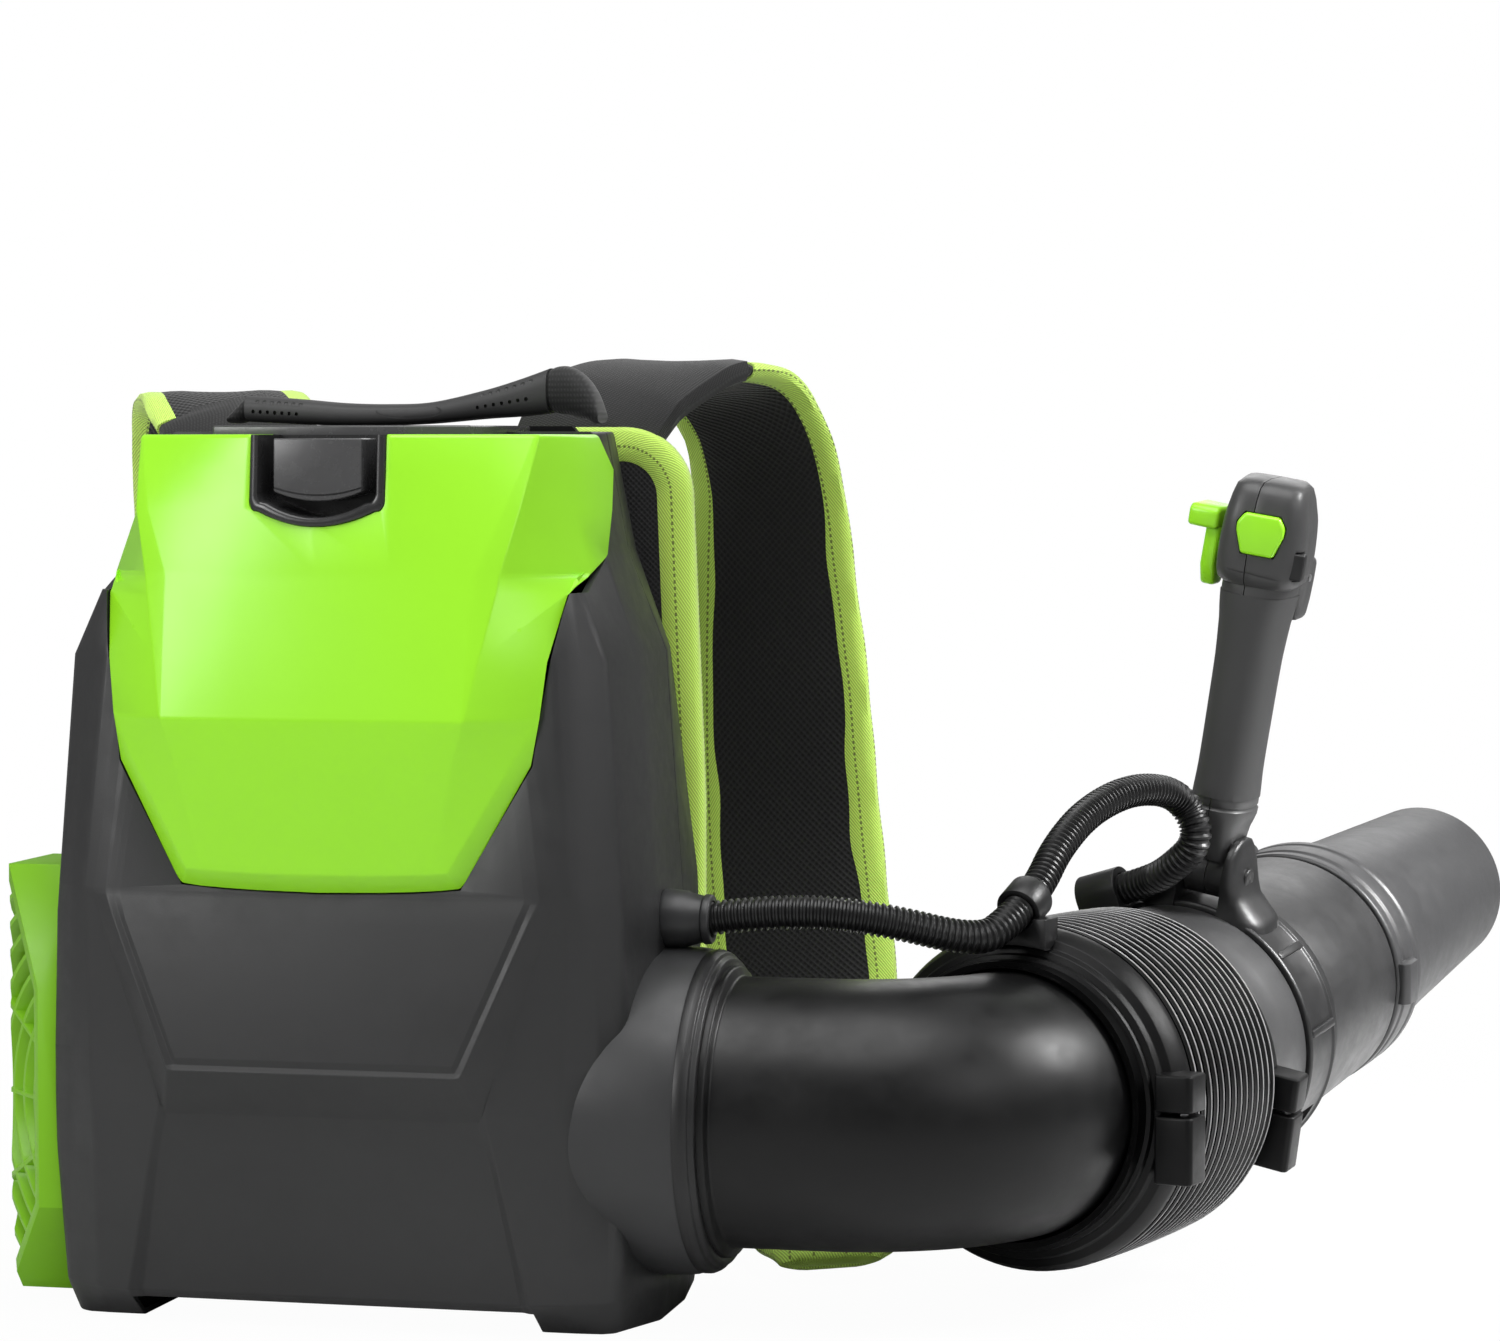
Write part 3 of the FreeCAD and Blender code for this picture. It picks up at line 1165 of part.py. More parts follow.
def build_conduit():
    radius = size["conduit_radius"]
    for label, points in (("conduit_lower", conduit_lower_points),
                          ("conduit_upper", conduit_upper_points)):
        path = rounded_path(points)
        tube = tube_along(path, radius).cut(tube_along(path, radius - 1.8))
        feature(label, tube)
        tightest = min([edge.Curve.Radius for edge in path.Edges if hasattr(edge.Curve, "Radius")])
        share = tube.Volume / (math.pi * (radius ** 2 - (radius - 1.8) ** 2) * path.Length)
        print(label, "length %.0f mm, tightest arc %.1f mm, volume share %.3f"
              % (path.Length, tightest, share))
    half = size["clip_length"] / 2
    base = Part.makeBox(2 * half, 30, 19, clip_middle + Vector(-half, -15, -26))
    ring = Part.makeCylinder(radius + 3.4, 2 * half, clip_middle - clip_run * half, clip_run)
    hole = Part.makeCylinder(radius + 0.3, 60, clip_middle - clip_run * 30, clip_run)
    clip = base.fuse(ring).cut(hole)
    clip = clip.cut(Part.makeCylinder(size["clamp_inner"] + 7, 60, Vector(-20, 0, 0),
                                      Vector(1, 0, 0)))
    clamp = nodes["front_clamp"].Shape.copy()
    clamp.Placement = bellows_frame.inverse().multiply(clamp.Placement)
    feature("conduit_clip", clip.cut(clamp), bellows_frame)


# Harness

strap_route = [
    (70, 107, 424), (80, 121, 446), (92, 140, 464), (110, 170, 474), (128, 200, 468),
    (140, 222, 448), (152, 242, 412), (160, 255, 362), (166, 260, 306), (170, 259, 250),
    (176, 250, 198), (184, 232, 146), (193, 203, 94), (201, 168, 50), (208, 133, 21),
    (212, 108, 12),
]
strap_widths = (70, 78, 84, 88, 90, 90, 90, 90, 90, 90, 90, 90, 88, 86, 78, 52)


def strap_section(points, index, width, thick):
    here = points[index]
    ahead = points[min(index + 1, len(points) - 1)]
    behind = points[max(index - 1, 0)]
    run = (ahead - behind).normalize()
    across = Vector(1, 0, 0) - run * run.x
    across.normalize()
    out = run.cross(across)
    half, deep = width / 2, thick / 2
    outline = [(-half, -deep * 0.4), (-half * 0.88, -deep), (half * 0.88, -deep),
               (half, -deep * 0.4), (half, deep * 0.35), (half * 0.8, deep * 0.9), (0, deep),
               (-half * 0.8, deep * 0.9), (-half, deep * 0.35)]
    return Part.makePolygon([here + across * a + out * b for a, b in outline + outline[:1]])


def strap_solid(side, drop, tuck):
    scale = size["strap_width"] / 90.0
    points = []
    for x, y, z in strap_route:
        narrow = 1 - tuck * max(0, 1 - z / 320.0)
        points.append(Vector(side * x * narrow, y, z - drop * z / 474.0))
    rings = []
    for index in range(len(points)):
        end = index in (0, len(points) - 1)
        thick = size["strap_thick"] * (0.55 if end else 1)
        rings.append(strap_section(points, index, strap_widths[index] * scale, thick))
    return Part.makeLoft(rings, True, True)


def padded_outline(y, shrink):
    """The back pad seen from behind, with rounded corners and a narrower waist."""
    half, low, high = size["pad_half"] - shrink, size["pad_foot"] + shrink, size["pad_top"] - shrink
    waist = (low + high) / 2
    corner = 34.0
    def at(x, z):
        return Vector(x, y, z)
    slope = corner * 0.2929
    edges = []
    top = half * 0.86
    edges.append(Part.LineSegment(at(-half + corner, low), at(half - corner, low)))
    edges.append(Part.Arc(at(half - corner, low), at(half - slope, low + slope),
                          at(half, low + corner)))
    edges.append(Part.LineSegment(at(half, low + corner), at(half, waist)))
    edges.append(Part.LineSegment(at(half, waist), at(top, high - corner)))
    edges.append(Part.Arc(at(top, high - corner), at(top - slope, high - slope),
                          at(top - corner, high)))
    edges.append(Part.LineSegment(at(top - corner, high), at(-top + corner, high)))
    edges.append(Part.Arc(at(-top + corner, high), at(-top + slope, high - slope),
                          at(-top, high - corner)))
    edges.append(Part.LineSegment(at(-top, high - corner), at(-half, waist)))
    edges.append(Part.LineSegment(at(-half, waist), at(-half, low + corner)))
    edges.append(Part.Arc(at(-half, low + corner), at(-half + slope, low + slope),
                          at(-half + corner, low)))
    return Part.Wire([edge.toShape() for edge in edges])


def build_harness():
    back = size["back_distance"]
    thick = size["panel_thick"]
    low, high, half = size["panel_foot"], size["panel_top"], size["panel_half"]
    raised("back_panel", "XZ_Plane", [
        (-half, low + 20), (-half + 20, low), (half - 20, low), (half, low + 20),
        (half * 0.92, high - 24), (half * 0.72, high), (-half * 0.72, high),
        (-half * 0.92, high - 24)], thick,
        Placement(Vector(0, back + 0.2 + thick, 0), Rotation()))
    start = back + thick + 0.4
    deep = size["pad_thick"]
    pad = Part.makeLoft([padded_outline(start, 5), padded_outline(start + 3, 0),
                         padded_outline(start + deep * 0.6, 0),
                         padded_outline(start + deep * 0.85, 5),
                         padded_outline(start + deep, 18)], True, True)
    channels = [Part.makeBox(14, 12, 460, Vector(-7, start + deep - 7, 0))]
    for height in (170, 270, 360):
        channels.append(Part.makeBox(2 * size["pad_half"] + 20, 8, 6,
                                     Vector(-size["pad_half"] - 10, start + deep - 5, height)))
    pad = pad.cut(channels[0].fuse(channels[1:]))
    for side in (1, -1):
        pad = pad.cut(Part.makeBox(90, 30, 70, Vector(72 * side - 45, start - 1, 402)))
    feature("back_pad", pad)
    for name, side, drop, tuck in (("right", 1, 0, 0), ("left", -1, 5, 0.15)):
        strap = strap_solid(side, drop, tuck).cut(Part.makeBox(
            400, 30, 460, Vector(-200, back - 29.8 + thick, 0)))
        feature("strap_" + name, strap)
        narrow = 1 - tuck * (1 - 40 / 320.0)
        wide, thin = size["webbing_width"] / 2, size["webbing_thick"]
        route = [Vector(side * 204 * narrow, 120, 31), Vector(side * 180 * narrow, 116, 44),
                 Vector(side * 140, back + 4, 62),
                 Vector(side * (half + 0.8), back + 3, 72)]
        wires = []
        for point in route:
            wires.append(Part.makePolygon([point + Vector(0, a, b) for a, b in (
                (-thin / 2, -wide / 2), (thin / 2, -wide / 2), (thin / 2, wide / 2),
                (-thin / 2, wide / 2), (-thin / 2, -wide / 2))]))
        web = Part.makeLoft(wires, True, True)
        buckle = Part.makeBox(26, 7, 30, Vector(side * 170 * narrow - 13, 112, 32))
        feature("webbing_" + name, web.cut(strap).cut(buckle))
        feature("buckle_" + name, buckle.cut(strap))


def build_carry():
    half, place = size["carry_half"], size["carry_place"]
    pivot, rise = size["carry_pivot"], size["carry_rise"]
    rings = []
    for index in range(-6, 7):
        share = index / 6.0
        height = pivot + 2 + rise * math.sqrt(max(0, 1 - share ** 4)) * 0.9
        wide = 13 - 2 * share ** 2
        deep = 8 - 3.5 * share ** 2
        x = half * share
        rings.append(Part.makePolygon([Vector(x, place + a, height + b) for a, b in (
            (-wide, -deep * 0.4), (-wide * 0.6, -deep), (wide * 0.6, -deep), (wide, -deep * 0.4),
            (wide, deep * 0.4), (wide * 0.6, deep), (-wide * 0.6, deep), (-wide, deep * 0.4),
            (-wide, -deep * 0.4))]))
    feature("carry_handle", Part.makeLoft(rings, True, True))
    strips = []
    for side in (1, -1):
        wires = []
        for x, z, wide in ((half + 0.3, pivot + 1.6, 9), (half + 10, pivot + 0.2, 11),
                           (half + 20, pivot - 3.1, 11), (half + 21.5, pivot - 4.6, 11)):
            wires.append(Part.makePolygon([Vector(side * x, place + a, z + b) for a, b in (
                (-wide, -1.2), (wide, -1.2), (wide, 1.2), (-wide, 1.2), (-wide, -1.2))]))
        strips.append(Part.makeLoft(wires, True, True))
    feature("carry_webbing", Part.makeCompound(strips))


def finish():
    document.recompute()
    os.makedirs("parts", exist_ok=True)
    faults = []
    for thing in document.Objects:
        if {"Invalid", "Error"} & set(thing.State):
            faults.append(thing.Label + " " + str(thing.State))
    for label, thing in nodes.items():
        shape = thing.Shape
        if shape.isNull() or not shape.isValid() or shape.Volume < 1.0:
            faults.append(label + " has no sound shape")
    if faults:
        raise RuntimeError("Unsound pieces: " + "; ".join(faults))
    for label, thing in nodes.items():
        thing.Shape.exportStep("parts/" + label + ".step")
    print("pieces written:", len(nodes))


build_housing()
print("housing")
build_cover()
print("cover")
build_bay()
print("bay")
document.recompute()
build_fan()
print("fan")
build_intake()
build_outlet()
document.recompute()
print("intake and outlet")
build_elbow()
document.recompute()
print("elbow")
build_tube()
document.recompute()
print("tube")
build_handle()
print("handle")
build_conduit()
build_harness()
build_carry()
print("harness")
finish()
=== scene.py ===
import bpy
import json
import math
from mathutils import Matrix, Vector

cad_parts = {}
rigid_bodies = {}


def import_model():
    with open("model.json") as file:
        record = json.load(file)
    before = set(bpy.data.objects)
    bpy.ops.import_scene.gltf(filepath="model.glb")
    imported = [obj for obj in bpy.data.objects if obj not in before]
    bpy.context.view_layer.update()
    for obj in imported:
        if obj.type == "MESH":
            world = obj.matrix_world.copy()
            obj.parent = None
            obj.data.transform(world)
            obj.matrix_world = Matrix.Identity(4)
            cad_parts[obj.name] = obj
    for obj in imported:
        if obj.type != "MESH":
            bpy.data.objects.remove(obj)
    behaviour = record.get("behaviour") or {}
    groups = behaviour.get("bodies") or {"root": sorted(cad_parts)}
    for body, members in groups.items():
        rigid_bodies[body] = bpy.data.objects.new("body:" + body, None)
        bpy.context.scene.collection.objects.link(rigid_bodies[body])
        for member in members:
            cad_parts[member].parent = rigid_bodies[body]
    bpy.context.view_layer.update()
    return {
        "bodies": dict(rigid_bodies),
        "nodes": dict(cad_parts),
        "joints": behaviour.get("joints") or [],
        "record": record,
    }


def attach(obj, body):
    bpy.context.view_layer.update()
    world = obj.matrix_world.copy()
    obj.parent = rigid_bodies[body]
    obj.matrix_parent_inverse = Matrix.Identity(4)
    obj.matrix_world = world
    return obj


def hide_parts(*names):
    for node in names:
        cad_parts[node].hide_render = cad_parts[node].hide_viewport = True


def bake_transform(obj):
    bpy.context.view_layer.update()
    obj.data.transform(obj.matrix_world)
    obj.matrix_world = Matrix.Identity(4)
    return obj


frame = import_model()
nodes = frame["nodes"]
mm = 0.001   # shapes are written in millimetres
print("frame loaded", len(nodes), "nodes")


# Picking and shader nodes
def clearPick():
    if bpy.context.object and bpy.context.object.mode != "OBJECT":
        bpy.ops.object.mode_set(mode="OBJECT")
    bpy.ops.object.select_all(action="DESELECT")


def pick(*things):
    clearPick()
    for thing in things:
        thing.select_set(True)
    bpy.context.view_layer.objects.active = things[-1]


def wire(tree, kind, *given, slots=(), **named):
    # a new shader node; a socket given as a value is linked, any other value is set
    node = tree.nodes.new("ShaderNode" + kind)
    for key, value in [*enumerate(given), *slots, *named.items()]:
        if isinstance(key, str) and hasattr(node, key):
            setattr(node, key, value)
            continue
        socket = node.inputs[key.replace("_", " ") if isinstance(key, str) else key]
        if isinstance(value, bpy.types.NodeSocket):
            tree.links.new(value, socket)
        else:
            socket.default_value = value
    return node


def coords(tree, kind="Object"):
    return wire(tree, "TexCoord").outputs[kind]


def noise(tree, spot, scale, detail, rough=0.5):
    return wire(tree, "TexNoise", Vector=spot, Scale=scale, Detail=detail, Roughness=rough).outputs["Fac"]


def ranged(tree, source, low, high, start=0.0, stop=1.0):
    return wire(tree, "MapRange", source, start, stop, low, high).outputs["Result"]


def shades(tree, source, dark, light, low=0.3, high=0.7):
    ramp = wire(tree, "ValToRGB", source)
    for element, at, colour in zip(ramp.color_ramp.elements, (low, high), (dark, light)):
        element.position, element.color = at, (*colour, 1)
    return ramp.outputs["Color"]


def mixed(tree, share, first, second, kind="MIX"):
    return wire(tree, "Mix", share, slots=((6, first), (7, second)), data_type="RGBA",
                blend_type=kind).outputs[2]


def bumps(tree, height, strength, deep):
    return wire(tree, "Bump", Height=height, Strength=strength, Distance=deep).outputs["Normal"]


def maths(tree, operation, *values):
    return wire(tree, "Math", *values, operation=operation).outputs[0]


def tinted(colour, share):
    return tuple(min(1.0, part * share) for part in colour)


# Studio
studio = {
    "eye": (0.73792, -2.26272, 0.438), "pitch": 2.7933, "turn": 13.5, "lens": 112.645,
    "floor": (0.6, 0.6, 0.6), "floorSize": 14, "floorDrop": 0.0005, "paper": 0.972, "sky": 0.26,
    "lamps": [   # name, place, looks at, size, watts, widest angle
        ("softTop", (0.3, -0.5, 2.1), (0.1, 0.1, 0.2), 1.9, 38, 180),
        ("softLeft", (-1.5, -1.9, 1.3), (0.0, 0.0, 0.25), 1.1, 27, 180),
        ("softRight", (1.9, -1.0, 1.2), (0.3, 0.1, 0.15), 0.9, 6, 180),
        ("softTube", (1.5, 0.55, 1.0), (0.62, 0.5, 0.12), 0.6, 6, 50),
        ("softBack", (0.2, 2.2, 1.5), (0.1, 0.2, 0.2), 1.6, 12, 180),
    ],
}


def newFinish(name, roughness, specular=0.5, metallic=0.0, sheen=0.0):
    finish = bpy.data.materials.new(name)
    finish.use_nodes = True
    shader = finish.node_tree.nodes["Principled BSDF"]
    for key, value in (("Roughness", roughness), ("Specular IOR Level", specular),
                       ("Metallic", metallic), ("Sheen Weight", sheen)):
        shader.inputs[key].default_value = value
    return finish, finish.node_tree, shader


def hang(data, spot, turn):
    thing = bpy.data.objects.new(data.name, data)
    bpy.context.collection.objects.link(thing)
    thing.location, thing.rotation_euler = spot, turn
    return thing


def setStudio():
    camera = bpy.data.cameras.new("studioCamera")
    camera.lens, camera.sensor_width, camera.clip_end = studio["lens"], 36, 60
    bpy.context.scene.camera = hang(camera, studio["eye"], (
        math.radians(90 - studio["pitch"]), 0, math.radians(studio["turn"])))
    for name, spot, target, wide, watts, spread in studio["lamps"]:
        lamp = bpy.data.lights.new(name, "AREA")
        lamp.shape, lamp.size, lamp.energy, lamp.spread = "DISK", wide, watts, math.radians(spread)
        hang(lamp, spot, (Vector(target) - Vector(spot)).to_track_quat("-Z", "Y").to_euler())
    world = bpy.data.worlds.new("studioWorld")
    bpy.context.scene.world = world
    world.use_nodes = True
    tree = world.node_tree
    tree.nodes.clear()
    soft, white = (wire(tree, "Background", (1, 1, 1, 1), strength).outputs[0]
                   for strength in (studio["sky"], 1.0))
    mix = wire(tree, "MixShader", wire(tree, "LightPath").outputs["Is Camera Ray"], soft, white)
    wire(tree, "OutputWorld", mix.outputs[0])
    clearPick()
    bpy.ops.mesh.primitive_plane_add(size=studio["floorSize"], location=(0, 0, -studio["floorDrop"]))
    floor = bpy.context.object
    floor.name = "studioFloor"
    bpy.ops.object.transform_apply(location=True)
    paper, tree, shader = newFinish("studioPaper", 0.9, 0.1)
    shader.inputs["Base Color"].default_value = (*studio["floor"], 1)
    # Camera rays see mostly plain white paper, which still keeps the shadow
    away = wire(tree, "VectorMath", coords(tree), operation="LENGTH").outputs["Value"]
    share = maths(tree, "MULTIPLY", ranged(tree, away, studio["paper"], 1.0, 0.3, 1.5),
                  wire(tree, "LightPath").outputs["Is Camera Ray"])
    mix = wire(tree, "MixShader", share, shader.outputs[0], wire(tree, "Emission").outputs[0])
    tree.links.new(mix.outputs[0], tree.nodes["Material Output"].inputs["Surface"])
    floor.data.materials.append(paper)
    bpy.context.scene.view_settings.view_transform = "Standard"


# Finishes
def dress(tree, shader, tone, relief=None, rough=None, gloss=None):
    for key, source in (("Base Color", tone), ("Normal", relief), ("Roughness", rough),
                        ("Specular IOR Level", gloss)):
        if source is not None:
            tree.links.new(source, shader.inputs[key])


def mouldedPlastic(name, colour, roughness=0.45, grain=1100, depth=0.00005, spread=0.08,
                   specular=0.5, dust=0.05, scuff=0.05):
    # clouded colour, rubbed patches and a fine spark-eroded grain
    finish, tree, shader = newFinish(name, roughness, specular)
    spot = coords(tree)
    tone = shades(tree, noise(tree, spot, 9.0, 4.0), tinted(colour, 1 - spread), tinted(colour, 1 + spread))
    worn = ranged(tree, noise(tree, spot, 55.0, 6.0, 0.7), max(0.03, roughness - scuff),
                  min(1.0, roughness + scuff + dust), 0.35, 0.75)
    dress(tree, shader, tone, bumps(tree, noise(tree, spot, float(grain), 2.0), 0.6, depth), worn)
    return finish


def brushedMetal(name, colour, roughness=0.3):
    finish, tree, shader = newFinish(name, roughness, metallic=1.0)
    stretch = wire(tree, "Mapping", Vector=coords(tree), Scale=(60, 900, 900))
    lines = noise(tree, stretch.outputs[0], 1.0, 3.0)
    tone = shades(tree, lines, tinted(colour, 0.85), tinted(colour, 1.1))
    dress(tree, shader, tone, rough=ranged(tree, lines, roughness - 0.08, roughness + 0.12))
    return finish


def lippedRubber(name, colour, lips):
    # rubber whose raised lips carry a painted highlight in a lighter colour; the mesh marks them with the
    # value "lip"
    finish, tree, shader = newFinish(name, 0.34, 0.14)
    spot = coords(tree)
    mark = wire(tree, "Attribute", attribute_name="lip").outputs["Fac"]
    cloud = noise(tree, spot, 30.0, 5.0)
    tone = mixed(tree, mark, (*colour, 1), shades(tree, cloud, tinted(lips, 0.75), tinted(lips, 1.2)))
    rough = ranged(tree, cloud, 0.28, 0.42)
    relief = bumps(tree, noise(tree, spot, 900.0, 2.0), 0.5, 0.00003)
    dress(tree, shader, tone, relief, rough, ranged(tree, mark, 0.06, 0.4))
    return finish


def meshFabric(name, wide, tall, mapped=True):
    # spacer mesh: staggered round holes between thicker yarn
    finish, tree, shader = newFinish(name, 0.78, 0.3, sheen=0.25)
    source, slant = coords(tree, "UV" if mapped else "Object"), math.radians(45)
    squeeze = wire(tree, "Mapping", Vector=source, Scale=(1 / wide, 1 / tall, 0 if mapped else 1 / tall))
    turned = wire(tree, "Mapping", Vector=squeeze.outputs[0],
                  Rotation=(0, 0, slant) if mapped else (0, slant, 0))
    cells = wire(tree, "TexVoronoi", Vector=turned.outputs[0], Scale=1.414, Randomness=0.0)
    holes, yarn = cells.outputs["Distance"], noise(tree, source, 1800.0, 2.0)
    tone = shades(tree, holes, (0.0022, 0.0022, 0.0023), (0.013, 0.013, 0.0135), 0.28, 0.5)
    tone = mixed(tree, 0.7, tone, shades(tree, yarn, (0.55, 0.55, 0.55), (1, 1, 1)), "MULTIPLY")
    dress(tree, shader, tone, bumps(tree, holes, 0.7, 0.0012), ranged(tree, yarn, 0.66, 0.9))
    return finish


def dimpledRubber(name, colour, pitch, low, high):
    # soft rubber with staggered dimples where the map's height lies between low and high
    finish, tree, shader = newFinish(name, 0.5, 0.42)
    spot = coords(tree, "UV")
    cells = wire(tree, "TexVoronoi", Vector=spot, Scale=1 / pitch, Randomness=0.0)
    pits = shades(tree, cells.outputs["Distance"], (0, 0, 0), (1, 1, 1), 0.16, 0.34)
    height = wire(tree, "SeparateXYZ", spot).outputs["Y"]
    zone = maths(tree, "COMPARE", height, (low + high) / 2, (high - low) / 2)
    depth = mixed(tree, zone, (1, 1, 1, 1), pits)
    grain = noise(tree, spot, 900.0, 3.0)
    tone = shades(tree, grain, tinted(colour, 0.85), tinted(colour, 1.15))
    rough = ranged(tree, grain, 0.42, 0.58)
    dress(tree, shader, tone, bumps(tree, depth, 0.8, 0.0006), rough)
    return finish


def twillBinding(name, colour, wide=0.0148, seam=0.0085, stitch=0.0034):
    # diagonal ribs, and one row of stitches along the middle of each side
    finish, tree, shader = newFinish(name, 0.7, 0.3, sheen=0.3)
    spot = coords(tree, "UV")
    tilt = wire(tree, "Mapping", Vector=spot, Rotation=(0, 0, math.radians(32)))
    ribs = wire(tree, "TexWave", Vector=tilt.outputs[0], Scale=250.0, Distortion=0.6, Detail=1.0,
                Detail_Scale=2.0).outputs["Fac"]
    tone = shades(tree, ribs, tinted(colour, 0.68), tinted(colour, 1.12), 0.1, 0.7)
    parts = wire(tree, "SeparateXYZ", spot)
    near = maths(tree, "COMPARE", maths(tree, "PINGPONG", parts.outputs["X"], wide), seam, 0.0006)
    beat = maths(tree, "MULTIPLY", parts.outputs["Y"], 2 * math.pi / stitch)
    dash = maths(tree, "GREATER_THAN", maths(tree, "SINE", beat), -0.1)
    tone = mixed(tree, maths(tree, "MULTIPLY", near, dash), tone, (*tinted(colour, 0.3), 1))
    dress(tree, shader, tone, bumps(tree, ribs, 0.5, 0.0004))
    return finish


def wovenFabric(name, colour, pitch=0.0011, mapped=True):
    finish, tree, shader = newFinish(name, 0.72, 0.35, sheen=0.2)
    spot = coords(tree, "UV" if mapped else "Object")
    rows, columns = (
        wire(tree, "TexWave", Vector=spot, Scale=0.314 / pitch / thick, Distortion=bent,
             bands_direction=way).outputs["Fac"]
        for thick, bent, way in ((1, 0.3, "Y" if mapped else "X"), (1.6, 0.5, "X" if mapped else "Z")))
    weave = maths(tree, "MULTIPLY", rows, columns)
    tone = shades(tree, weave, tinted(colour, 0.55), tinted(colour, 1.3), 0.05, 0.8)
    dress(tree, shader, tone, bumps(tree, weave, 0.5, 0.0004))
    return finish


tones = {
    "housing": (0.020, 0.0202, 0.0207), "rearHousing": (0.015, 0.0152, 0.0156),
    # grille: the cover's lime darkened, painted shade for the grille's shadowed inside
    "green": (0.322, 0.810, 0.019), "grille": (0.190, 0.480, 0.007), "black": (0.006, 0.006, 0.0064),
    "gloss": (0.008, 0.008, 0.0083), "elbow": (0.002, 0.002, 0.0022), "pipe": (0.013, 0.013, 0.0135),
    "swivel": (0.045, 0.045, 0.046), "nozzle": (0.025, 0.025, 0.026), "latch": (0.022, 0.022, 0.0225),
    "tab": (0.060, 0.060, 0.061), "rubber": (0.044, 0.044, 0.0445), "sleeve": (0.026, 0.0265, 0.0275),
    # lips: a light grey painted on the black bellows' lips as their highlight
    "bellows": (0.0015, 0.0015, 0.0016), "lips": (0.34, 0.34, 0.343),
    "binding": (0.57, 0.85, 0.13), "handle": (0.044, 0.044, 0.0445), "fabric": (0.014, 0.014, 0.0145),
}
finishes = {
    "housing": mouldedPlastic("greyHousing", tones["housing"], 0.46),
    "rearHousing": mouldedPlastic("greyRearHousing", tones["rearHousing"], 0.46),
    "green": mouldedPlastic("limePlastic", tones["green"], 0.3, spread=0.015, depth=0.00001, dust=0,
                            scuff=0.012),
    "grille": mouldedPlastic("limeGrille", tones["grille"], 0.4, spread=0.03, depth=0.00002, dust=0,
                             specular=0.3),
    "black": mouldedPlastic("blackPlastic", tones["black"], 0.4),
    "tube": mouldedPlastic("tubePlastic", tones["pipe"], 0.42, depth=0.00003),
    "swivel": mouldedPlastic("swivelPlastic", tones["swivel"], 0.4, depth=0.00003),
    "nozzle": mouldedPlastic("nozzlePlastic", tones["nozzle"], 0.42, depth=0.00003),
    "rubber": mouldedPlastic("softRubber", tones["black"], 0.5, grain=700, specular=0.35),
    "steel": brushedMetal("turnedSteel", (0.55, 0.55, 0.56)),
    "copper": brushedMetal("windingCopper", (0.72, 0.33, 0.16)),
    "alloy": brushedMetal("castAlloy", (0.62, 0.63, 0.65), 0.4),
    "board": mouldedPlastic("boardResin", (0.01, 0.09, 0.035), 0.3, spread=0.3),
    "latch": mouldedPlastic("glossyTrim", tones["latch"], 0.26, depth=0.00001, dust=0.03),
    # its grey also paints the highlight on the bay rim
    "latchTab": mouldedPlastic("glossyTab", tones["tab"], 0.26, depth=0.00001, dust=0.03),
    "elbow": mouldedPlastic("satinElbow", tones["elbow"], 0.39, depth=0.00002, dust=0.04,
                            specular=0.34),
    "sleeve": mouldedPlastic("outletPlastic", tones["sleeve"], 0.44),
    "conduit": mouldedPlastic("conduitPlastic", tones["gloss"], 0.35, depth=0.00001, specular=0.42),
    "clamp": mouldedPlastic("clampPlastic", tones["elbow"], 0.42, dust=0.04, specular=0.2),
    "bellows": lippedRubber("bellowsRubber", tones["bellows"], tones["lips"]),
    "handle": mouldedPlastic("handlePlastic", tones["handle"], 0.4),
    "greenControl": mouldedPlastic("limeControls", tones["green"], 0.32, spread=0.03, depth=0.00002,
                                   dust=0),
    "gripRubber": mouldedPlastic("gripRubber", tones["rubber"], 0.46, grain=900, specular=0.4),
    "dimpled": dimpledRubber("dimpledRubber", tones["rubber"], 0.0034, 0.118, 0.158),
    "hexMesh": meshFabric("hexMeshFabric", 0.0036, 0.0042),
    "padMesh": meshFabric("padMeshFabric", 0.003, 0.003, mapped=False),
    "binding": twillBinding("limeBinding", tones["binding"]),
    "woven": wovenFabric("wovenNylon", tones["fabric"]),
    "ribbedWeb": wovenFabric("ribbedWebbing", tones["fabric"], 0.0017, mapped=False),
}
plainDress = {   # finish of each plain node that stays in view
    "black": ["terminal_block", "fan_duct", "tail_cone", "back_panel", "impeller", "spinner"],
    "steel": ["motor_shaft", "rotor_can", "motor_bearings", "front_clamp_screw", "rear_clamp_screw",
              "trigger_pin"],
    "copper": ["motor_core", "terminal_blades"], "alloy": ["heat_sink", "motor_mount"],
    "board": ["controller_board", "handle_board"],
}
setStudio()
for finishName, names in plainDress.items():
    for name in names:
        nodes[name].data.materials.clear()
        nodes[name].data.materials.append(finishes[finishName])
print("studio and finishes ready")


# Shaping
def newPiece(name, points, edges=(), faces=()):
    mesh = bpy.data.meshes.new(name)
    mesh.from_pydata([Vector(p) * mm for p in points], list(edges), list(faces))
    piece = bpy.data.objects.new(name, mesh)
    bpy.context.collection.objects.link(piece)
    pick(piece)
    return piece


def twinOf(piece):
    twin = piece.copy()
    twin.data = piece.data.copy()
    bpy.context.collection.objects.link(twin)
    return twin


def pickAll():
    bpy.ops.mesh.select_all(action="SELECT")


def turnOut():
    bpy.ops.mesh.normals_make_consistent(inside=False)


def closeUp():
    bpy.ops.mesh.remove_doubles(threshold=0.000005)
    turnOut()


def editAll(piece, *steps):
    # runs edit-mode steps with the whole mesh selected
    pick(piece)
    bpy.ops.object.mode_set(mode="EDIT")
    for step in (pickAll, *steps):
        step()
    bpy.ops.object.mode_set(mode="OBJECT")


def modified(piece, kind, **settings):
    pick(piece)
    modifier = piece.modifiers.new(kind.title(), kind)
    for key, value in settings.items():
        setattr(modifier, key, value)
    bpy.ops.object.modifier_apply(modifier=modifier.name)


